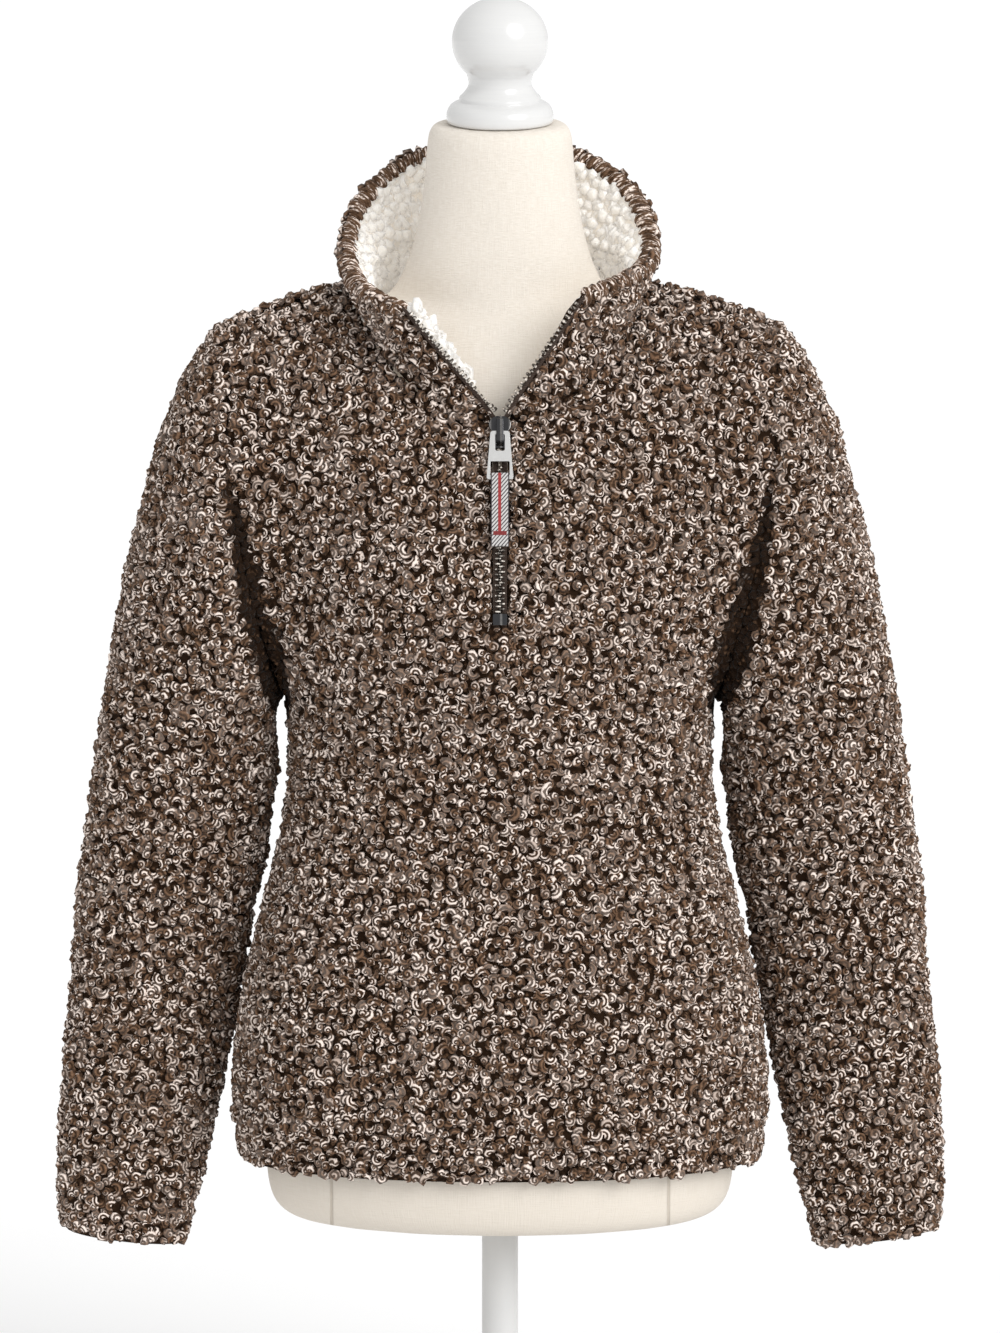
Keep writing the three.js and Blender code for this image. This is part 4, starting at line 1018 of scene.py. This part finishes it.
class PULLOVER_OT_body_pile(bpy.types.Operator):
    """Ground cloth and looped pile of the front, back, sleeves and collar"""

    bl_idname = "pullover.body_pile"
    bl_label = "Body pile"

    def execute(self, context):
        settings = context.scene.pullover_pile
        yarn, knit = marled_yarn(settings), ground_knit(settings)
        cream = cream_ground(context.scene.pullover_lining)
        shapes = curl_shapes(settings.curl, settings.yarn)
        line, seams, rim = zip_line(), armhole_line(), rim_edge("collar", INSIDE)
        lining = node_form("collar_lining")
        lined = np.array([v.co for v in lining.verts])
        lining.free()
        for number, node in enumerate(PILE_CLOTHS):
            rng = np.random.default_rng(settings.seed + number)
            zipped, necked = node in ("front", "collar"), node in ("front", "back")
            form = node_form(node)
            outside, inside, *edges = cloth_sides(form)
            edges = [face for side in edges for face in side]
            hems = [f for f in edges if f.normal.z < HEM_DOWN and f.calc_center_median().z < HEMS_BELOW]
            points, slopes = scatter(outside + hems, settings.spacing, rng)
            if zipped:
                points, slopes = self.with_edge(outside, points, slopes, line, settings)
            if necked:
                clear = self.clear_of_neck(outside, points, lined, settings)
                points, slopes = points[clear], slopes[clear]
            sizes = rng.uniform(*CURL_SIZES, len(points))
            painted_shade = self.painted_shade_shares(node, points, seams, settings)
            sink = settings.sink + CREASE_SINK * painted_shade
            if zipped:
                # Beside the zip the curls are smaller, sunk deeper and darker with painted shade
                beside = 1 - np.clip(nearness(points, line) / settings.zip_strip, 0, 1) ** 3
                sizes *= 1 - ZIP_SHRINK * beside
                sink += ZIP_SINK * beside
                painted_shade = np.clip(painted_shade + ZIP_SHADE * beside, 0, 1)
            points = points - slopes * sink[:, None]
            sunk_shell(form, outside, settings.ground, settings.allowance)
            if necked:
                inside += [f for f in edges if nearness([f.calc_center_median()], lined)[0] < NECK_EDGE]
            for face in inside:
                middle = face.calc_center_median()
                bound = node == "collar" and nearness([middle], rim)[0] < settings.rim_strip
                face.material_index = int(middle.z > LINED_ABOVE and not bound)
            ground = new_piece(f"{node}_ground", as_mesh(form, f"{node}_ground"), knit)
            ground.data.materials.append(cream.material)
            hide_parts(node)
            piles = []
            for name, mine in self.halves(node, points):
                mesh = laid_curls(name, shapes, points[mine], slopes[mine], sizes[mine], rng, painted_shade[mine])
                piles.append(new_piece(name, mesh, yarn))
            self.declare(node, ground, piles)
        return {"FINISHED"}

    def with_edge(self, outside, points, slopes, line, settings):
        """Sets a row of curls along the zip in place of the scattered ones there"""
        normals = side_normals(outside)
        clear = nearness(points, line) > settings.zip_clear + settings.spacing / 2
        spots, ways = [], []
        for edge, face in free_edges(outside):
            first, second = edge.verts
            if nearness([(first.co + second.co) / 2], line)[0] < settings.zip_strip:
                back = (second.co - first.co).cross(face.normal).normalized()
                back *= 1 if back.dot(face.calc_center_median() - first.co) > 0 else -1
                count = max(round(edge.calc_length() / settings.spacing * EDGE_CROWD), 1)
                for t in (np.arange(count) + 0.5) / count:
                    spots.append(first.co.lerp(second.co, t) + back * settings.edge_row)
                    ways.append(normals[first.index].lerp(normals[second.index], t).normalized())
        points = np.concatenate([points[clear], np.array(spots)])
        return points, np.concatenate([slopes[clear], np.array(ways)])

    def clear_of_neck(self, outside, points, lined, settings):
        """Which curls keep clear of the neckline, where they would come through the lining"""
        middles = [(e.verts[0].co + e.verts[1].co) / 2 for e, _ in free_edges(outside)]
        neck = np.array([m for m in middles if nearness([m], lined)[0] < settings.neck_strip])
        return nearness(points, neck) > settings.lining_clear

    def painted_shade_shares(self, node, points, seams, settings):
        """How much painted shade each curl takes in the armholes' crease and at the hem's stitching, and on
        all of each sleeve
        """
        heights = points[:, 2]
        low = 1 - np.clip((heights - CREASE_TOP) / CREASE_FADE, 0, 1)
        strip = settings.seam_strip * np.clip(1 - CREASE_TAPER * (heights - CREASE_FULL), CREASE_LEAST, 1)
        painted_shade = low * np.clip((strip - nearness(points, seams)) / settings.seam_fade, 0, 1)
        if node.startswith("sleeve"):
            painted_shade = np.clip(painted_shade + SLEEVE_SHADE, 0, 1)
        if node in ("front", "back"):
            painted_shade += HEM_SHADE * np.exp(-(((heights - settings.hem_line) / HEM_SPREAD) ** 2))
        return painted_shade

    def halves(self, node, points):
        if node in ("front", "back"):
            return [(f"{node}_pile_right", points[:, 0] < 0), (f"{node}_pile_left", points[:, 0] >= 0)]
        return [(f"{node}_pile", np.ones(len(points), bool))]

    def declare(self, node, ground, piles):
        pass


class PULLOVER_OT_collar_lining(bpy.types.Operator):
    """Cream pile inside the collar"""

    bl_idname = "pullover.collar_lining"
    bl_label = "Collar lining"

    def execute(self, context):
        settings = context.scene.pullover_lining
        rng = np.random.default_rng(LINING_SEED)
        form = node_form("collar_lining")
        _, inside, *edges = cloth_sides(form)
        points, slopes = scatter(inside, settings.spacing, rng)
        points = points - slopes * settings.sink
        fronts = [f for side in edges for f in side if self.at_zip(f)]
        left = [f for f in fronts if f.calc_center_median().x > 0]
        right = [f for f in fronts if f.calc_center_median().x < 0]
        bare = np.array([v.co for f in left for v in f.verts])
        more, ways = scatter(right, settings.spacing * FRINGE_CROWD, rng)
        rise = np.clip((more[:, 2] - settings.fringe) / FRINGE_RISE, 0, 1)
        more, ways, rise = more[rise > 0], ways[rise > 0], rise[rise > 0]
        for past in FRINGE_ROWS:
            spots = more + (past * rise)[:, None] * ways + np.array(FRINGE_BACK)
            points, slopes = np.concatenate([points, spots]), np.concatenate([slopes, ways])
        for node in ("back", "front", "collar"):
            cloth = node_form(node)
            seen = [f for f in cloth_sides(cloth)[INSIDE] if self.shows(f.calc_center_median(), settings)]
            more, ways = scatter(seen, settings.spacing * INNER_CROWD, rng)
            points = np.concatenate([points, more + INNER_LIFT * ways])
            slopes = np.concatenate([slopes, ways])
            cloth.free()
        sizes = rng.uniform(*TUFT_SIZES, len(points))
        clear = nearness(points, rim_edge("collar_lining", INSIDE)) > settings.rim
        clear &= nearness(points, bare) > settings.edge
        points, slopes, sizes = points[clear], slopes[clear], sizes[clear]
        sunk_shell(form, inside, LINING_GROUND)
        bound = max(edges, key=lambda side: sum(f.normal.z * f.calc_area() for f in side))
        for vert in {v for f in bound for v in f.verts}:
            vert.co.z -= settings.rim
        for face in bound + left:
            face.material_index = 1
        mesh = as_mesh(form, "lining_ground")
        ground = new_piece("lining_ground", mesh, cream_ground(settings))
        ground.data.materials.append(ground_knit(context.scene.pullover_pile).material)
        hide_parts("collar_lining")
        shapes = curl_shapes(settings.tuft * TUFT_BEND, settings.tuft)
        mesh = laid_curls("lining_pile", shapes, points, slopes, sizes, rng)
        pile = new_piece("lining_pile", mesh, cream_yarn(settings))
        return {"FINISHED"}

    def at_zip(self, face):
        """Whether a cut edge's face is one of the two beside the zip"""
        return abs(face.normal.z) < UPRIGHT and face.calc_center_median().y < LINING_FRONT

    def shows(self, spot, settings):
        """Whether the inside of the cloth there can be seen through the neck"""
        return spot.z > settings.reach and abs(spot.x) < NECK_HALF


class PULLOVER_OT_collar_rim(bpy.types.Operator):
    """Loops of marled yarn that bind the collar and its lining along the rim"""

    bl_idname = "pullover.collar_rim"
    bl_label = "Collar rim"

    def execute(self, context):
        settings = context.scene.pullover_rim
        rng = np.random.default_rng(RIM_SEED)
        outer, inner = rim_edge("collar", OUTSIDE), rim_edge("collar_lining", INSIDE)
        total = run_along((outer + inner) / 2)[-1]
        count = int(total / settings.pitch)
        spots = (np.arange(count) + 0.5) / count * (len(outer) - 1)
        knots = np.arange(len(outer))
        outer, inner = between(outer, knots, spots), between(inner, knots, spots)
        middle = (outer + inner) / 2
        along = unit(np.gradient(middle, axis=0))
        across = outer - inner
        across -= along * (across * along).sum(axis=1, keepdims=True)
        half = np.linalg.norm(across, axis=1) / 2
        across /= 2 * half[:, None]
        up = np.cross(along, across)
        up *= np.sign(up[:, 2:])
        bend = np.linspace(-RIM_BEND, RIM_BEND, len(RIM_PROFILE))
        top = len(bend) // 2
        tubes = []
        for i in range(count):
            reach = half[i] * rng.uniform(*RIM_REACH)
            slant = rng.uniform(*RIM_SLANT) * settings.pitch
            path = (
                middle[i]
                + across[i] * (reach * np.sin(bend))[:, None]
                + up[i] * (reach * np.cos(bend) - settings.drop)[:, None]
                + along[i] * (slant * bend / RIM_BEND)[:, None]
            )
            thick = settings.yarn * rng.uniform(*RIM_UNEVEN) * np.array(RIM_PROFILE)
            shape, faces, places = yarn_tube(path, thick, RIM_SIDES, along[i])
            # Painted shade share: 1 at a loop's top, less below it
            tips = np.clip(1 + (shape - path[top]) @ up[i] / settings.drop * 0.5, 0.2, 1)
            places = [[(RIM_TURNS * u, RIM_LENGTHS * v) for u, v in place] for place in places]
            tubes.append((shape[None], faces, places, np.array([rng.random()]), tips))
        mesh = join_tubes("collar_rim", tubes)
        new_piece("collar_rim", mesh, marled_cord(context.scene.pullover_pile))
        return {"FINISHED"}


class PULLOVER_OT_zip(bpy.types.Operator):
    """Zip tapes, single teeth, slider and stop"""

    bl_idname = "pullover.zip"
    bl_label = "Zip"

    def execute(self, context):
        settings = context.scene.pullover_zip
        tape, metal, plate = woven_tape(settings), antique_metal(settings), gunmetal(settings)
        for node in ZIP_TAPES:
            tape.finish(frame["nodes"][node])
        for node in ("zip_teeth_left", "zip_teeth_right"):
            path = self.longer(strip_path(node), TEETH_UNDER_SLIDER)
            teeth = self.row(path, settings.pitch, settings.tooth, ROW_WIDE, 0.0)
            piece = new_piece(f"{node}_single", self.joined(f"{node}_single", [teeth]), metal)
            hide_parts(node)
        path = strip_path("zip_chain")
        path = self.longer(path, path[0][0].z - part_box("zip_stop")[1].z)
        tooth = settings.tooth * CHAIN_LONG
        rows = [
            self.row(path, settings.pitch, tooth, CHAIN_WIDE, side * CHAIN_SHIFT, 0.5 * (side > 0))
            for side in (-1, 1)
        ]
        piece = new_piece("zip_chain_single", self.joined("zip_chain_single", rows), metal)
        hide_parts("zip_chain")
        mesh = metal_copy("zip_stop_plated", "zip_stop")
        stop = new_piece("zip_stop_plated", mesh, plate)
        soft_edges(stop, settings.edge * 2.4, segments=4)
        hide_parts("zip_stop")
        slider = new_piece("zip_slider_plated", self.slider(settings), plate)
        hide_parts("zip_slider")
        return {"FINISHED"}

    def longer(self, path, by):
        """A strip's path drawn on past its lower end"""
        (first, wide, out), (second, *_) = path[:2]
        return [(first + (first - second).normalized() * by, wide, out), *path]

    def slider(self, settings):
        """Winged plate and the bridge that holds the pull, leaning with the chest"""
        form = bmesh.new()
        wings = [(-x, y, SLIDER_THICK) for x, y in SLIDER_HALF]
        wings += [(x, y, SLIDER_THICK) for x, y in reversed(SLIDER_HALF)]
        self.thick_plate(form, wings, (0, 0, SLIDER_THICK), settings.edge * 1.6)
        arch = [(-BRIDGE_WIDE / 2, y, z) for y, z in BRIDGE_ARCH]
        self.thick_plate(form, arch, (BRIDGE_WIDE, 0, 0), settings.edge * 2.2)
        up = Vector((0, math.sin(SLIDER_LEAN), math.cos(SLIDER_LEAN)))
        out = Vector((0, -math.cos(SLIDER_LEAN), math.sin(SLIDER_LEAN)))
        place = Matrix((Vector((1, 0, 0)), up, out)).transposed().to_4x4()
        place.translation = PULL_PIVOT - up * PIVOT_IN_SLIDER[0] - out * PIVOT_IN_SLIDER[1]
        bmesh.ops.transform(form, matrix=place, verts=form.verts)
        return as_mesh(form, "zip_slider_plated", smooth=False)

    def thick_plate(self, form, outline, way, edge):
        """An outline drawn out into a plate with rounded edges"""
        face = form.faces.new([form.verts.new(corner) for corner in outline])
        drawn = bmesh.ops.extrude_face_region(form, geom=[face], use_keep_orig=True)["geom"]
        verts = [item for item in drawn if isinstance(item, bmesh.types.BMVert)]
        bmesh.ops.translate(form, vec=way, verts=verts)
        faces = {f for v in verts for f in v.link_faces} | {face}
        bmesh.ops.recalc_face_normals(form, faces=list(faces))
        rims = {e for f in faces if len(f.verts) > 4 for e in f.edges}
        bevelled(form, list(rims), edge, segments=3)

    def row(self, path, pitch, tooth, widen, shift, start=0.0):
        """Places of teeth along a strip: a matrix for each, as long as the tooth and as wide as the strip"""
        middles = np.array([middle for middle, wide, out in path])
        way = run_along(middles)
        count = int(way[-1] / pitch)
        spots = []
        for i in range(count):
            at = (i + 0.25 + start) * way[-1] / count
            k = min(max(int(np.searchsorted(way, at)) - 1, 0), len(path) - 2)
            t = (at - way[k]) / (way[k + 1] - way[k])
            middle, wide, out = (a.lerp(b, t) for a, b in zip(path[k], path[k + 1]))
            run = (path[k + 1][0] - path[k][0]).normalized()
            out = (out - run * out.dot(run)).normalized()
            side = run.cross(out)
            breadth = wide.length
            axes = side * breadth * widen * 0.5, run * tooth * 0.5, out * TOOTH_HIGH
            place = Matrix(axes).transposed().to_4x4()
            place.translation = middle + side * shift * breadth
            spots.append(place)
        return spots

    def joined(self, name, rows):
        """All teeth of the rows in one mesh"""
        whole = bmesh.new()
        tooth = bmesh.new()
        bmesh.ops.create_cube(tooth, size=2.0)
        bevelled(tooth, tooth.edges, TOOTH_CORNER, segments=1)
        template = bpy.data.meshes.new("tooth")
        tooth.to_mesh(template)
        tooth.free()
        for place in (place for row in rows for place in row):
            first = len(whole.verts)
            whole.from_mesh(template)
            whole.verts.ensure_lookup_table()
            bmesh.ops.transform(whole, matrix=place, verts=whole.verts[first:])
        bpy.data.meshes.remove(template)
        bmesh.ops.recalc_face_normals(whole, faces=whole.faces)
        return as_mesh(whole, name, smooth=False)


class PULLOVER_OT_zip_pull(bpy.types.Operator):
    """Metal pull tab and its striped webbing"""

    bl_idname = "pullover.zip_pull"
    bl_label = "Zip pull"

    def execute(self, context):
        zip_settings, web_settings = context.scene.pullover_zip, context.scene.pullover_webbing
        mesh = metal_copy("pull_tab_nickel", "zip_pull_tab")
        tab = new_piece("pull_tab_nickel", mesh, satin_nickel(zip_settings), PULL)
        soft_edges(tab, zip_settings.edge * 1.3, segments=3)
        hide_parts("zip_pull_tab")
        form = node_form("pull_webbing")
        down = Vector((0, -math.sin(TAB_LEAN), -math.cos(TAB_LEAN)))
        place = form.loops.layers.uv.new("webbing")
        for face in form.faces:
            for loop in face.loops:
                across = loop.vert.co.x / web_settings.width + 0.5
                loop[place].uv = (across, (loop.vert.co - PULL_PIVOT).dot(down))
        mesh = as_mesh(form, "webbing_striped", False)
        web = new_piece("webbing_striped", mesh, striped_webbing(web_settings), PULL)
        soft_edges(web, 0.0002)
        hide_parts("pull_webbing")
        return {"FINISHED"}


class PULLOVER_OT_dress_form(bpy.types.Operator):
    """Linen torso, turned neck cap, pole and base"""

    bl_idname = "pullover.dress_form"
    bl_label = "Dress form"

    def execute(self, context):
        settings = context.scene.pullover_form
        form = node_form("form_torso")
        bmesh.ops.join_triangles(
            form, faces=form.faces, angle_face_threshold=math.radians(60),
            angle_shape_threshold=math.radians(120),
        )
        place = form.loops.layers.uv.new("linen")
        for face in form.faces:
            middle = face.calc_center_median()
            turn = math.atan2(middle.x, -middle.y)
            for loop in face.loops:
                co = loop.vert.co
                here = math.atan2(co.x, -co.y)
                here += math.tau * round((turn - here) / math.tau)
                loop[place].uv = (here * TORSO_ROUND, co.z)
        torso = new_piece("linen_torso", as_mesh(form, "linen_torso"), linen_cover(settings))
        rounding = torso.modifiers.new("rounding", "SUBSURF")
        rounding.levels = rounding.render_levels = 2
        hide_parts("form_torso")
        lacquer, paint = white_lacquer(settings), white_paint(settings)
        self.cap(lacquer)
        self.stand(paint)
        return {"FINISHED"}

    def cap(self, lacquer):
        turns = np.radians(np.linspace(-46, 90, 22))
        wide, high = CAP_BALL
        ball = [(wide * math.cos(a), CAP_BALL_MIDDLE + high * math.sin(a)) for a in turns]
        ball[-1] = (0, CAP_TOP)
        place = Matrix.Translation((0, 0, CAP_SEAT)) @ Matrix.Rotation(NECK_TILT, 4, "X")
        mesh = turned("turned_cap", [*CAP_FOOT, *ball], steps=64, place=place)
        piece = new_piece("turned_cap", mesh, lacquer)
        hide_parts("form_cap")

    def stand(self, paint):
        low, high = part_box("stand_pole")
        radius = high.x
        middle = (low.z + high.z) / 2
        pole = [(0, low.z), (radius, low.z), (radius, middle), (radius, high.z), (0, high.z)]
        piece = new_piece("painted_pole", turned("painted_pole", pole, steps=48), paint)
        soft_edges(piece, 0.0004)
        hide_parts("stand_pole")
        low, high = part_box("stand_base")
        radius, thick = high.x, high.z
        lip = [
            (radius - BASE_LIP + BASE_LIP * math.sin(a), thick - BASE_LIP + BASE_LIP * math.cos(a))
            for a in np.linspace(math.pi / 2, 0, 7)
        ]
        foot = [(0, 0), (radius - BASE_CHAMFER, 0), (radius, BASE_CHAMFER)]
        base = [*foot, *lip, (radius * 0.5, thick), (0, thick)]
        piece = new_piece("painted_base", turned("painted_base", base, steps=96), paint)
        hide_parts("stand_base")


class PULLOVER_OT_stage(bpy.types.Operator):
    """Pale floor, soft lights and the camera"""

    bl_idname = "pullover.stage"
    bl_label = "Stage"

    def execute(self, context):
        settings = context.scene.pullover_stage
        scene = context.scene
        self.floor(settings)
        aim = Vector((0, 0, settings.aim))
        self.light("key", KEY_PLACE, settings, aim)
        world = bpy.data.worlds.new("studio")
        world.use_nodes = True
        background = world.node_tree.nodes["Background"]
        background.inputs["Color"].default_value = (1, 1, 1, 1)
        background.inputs["Strength"].default_value = settings.sky
        scene.world = world
        scene.view_settings.view_transform = "Standard"
        data = bpy.data.cameras.new("camera")
        data.sensor_fit = "VERTICAL"
        data.sensor_height = SENSOR
        data.lens = settings.lens
        camera = bpy.data.objects.new("camera", data)
        back = Vector((0, -math.cos(settings.pitch), math.sin(settings.pitch)))
        camera.location = aim + back * settings.distance
        camera.rotation_euler = (math.pi / 2 - settings.pitch, 0, 0)
        scene.collection.objects.link(camera)
        scene.camera = camera
        return {"FINISHED"}

    def floor(self, settings):
        form = bmesh.new()
        bmesh.ops.create_grid(form, x_segments=4, y_segments=4, size=FLOOR_HALF)
        floor = bpy.data.objects.new("floor", as_mesh(form, "floor"))
        bpy.context.scene.collection.objects.link(floor)
        pale = Finish("pale_floor", roughness=0.9, specular_ior_level=0.1)
        cloudy = pale.noise(0.6, detail=2.0)
        pale.surface(base_color=pale.mix(settings.floor, settings.cloud, cloudy * 0.3))
        pale.finish(floor)

    def light(self, name, place, settings, aim):
        data = bpy.data.lights.new(name, "SUN")
        data.energy = settings.key
        data.angle = settings.spread
        light = bpy.data.objects.new(name, data)
        light.location = place
        light.rotation_euler = (aim - Vector(place)).to_track_quat("-Z", "Y").to_euler()
        bpy.context.scene.collection.objects.link(light)


STEPS = (
    PULLOVER_OT_stage,
    PULLOVER_OT_body_pile,
    PULLOVER_OT_collar_lining,
    PULLOVER_OT_collar_rim,
    PULLOVER_OT_zip,
    PULLOVER_OT_zip_pull,
    PULLOVER_OT_dress_form,
)


class PULLOVER_PT_panel(bpy.types.Panel):
    """Sizes, colours and steps of the dressed pullover"""

    bl_idname = "PULLOVER_PT_panel"
    bl_label = "Pullover"
    bl_space_type = "VIEW_3D"
    bl_region_type = "UI"
    bl_category = "Pullover"

    def draw(self, context):
        for step in STEPS:
            self.layout.operator(step.bl_idname)
        for name in SETTINGS:
            group = getattr(context.scene, name)
            box = self.layout.box()
            box.label(text=name.replace("_", " ").capitalize())
            for item in group.__annotations__:
                box.prop(group, item)


SETTINGS = {
    "pullover_pile": PileSettings,
    "pullover_lining": LiningSettings,
    "pullover_rim": RimSettings,
    "pullover_zip": ZipSettings,
    "pullover_webbing": WebbingSettings,
    "pullover_form": FormSettings,
    "pullover_stage": StageSettings,
}


def register():
    for kind in (*SETTINGS.values(), *STEPS, PULLOVER_PT_panel):
        bpy.utils.register_class(kind)
    for name, kind in SETTINGS.items():
        setattr(bpy.types.Scene, name, PointerProperty(type=kind))


def unregister():
    for name in SETTINGS:
        delattr(bpy.types.Scene, name)
    for kind in (PULLOVER_PT_panel, *reversed(STEPS), *reversed(SETTINGS.values())):
        bpy.utils.unregister_class(kind)


def main():
    register()
    bpy.ops.pullover.stage()
    bpy.ops.pullover.body_pile()
    bpy.ops.pullover.collar_lining()
    bpy.ops.pullover.collar_rim()
    bpy.ops.pullover.zip()
    bpy.ops.pullover.zip_pull()
    bpy.ops.pullover.dress_form()


if __name__ == "__main__":
    main()
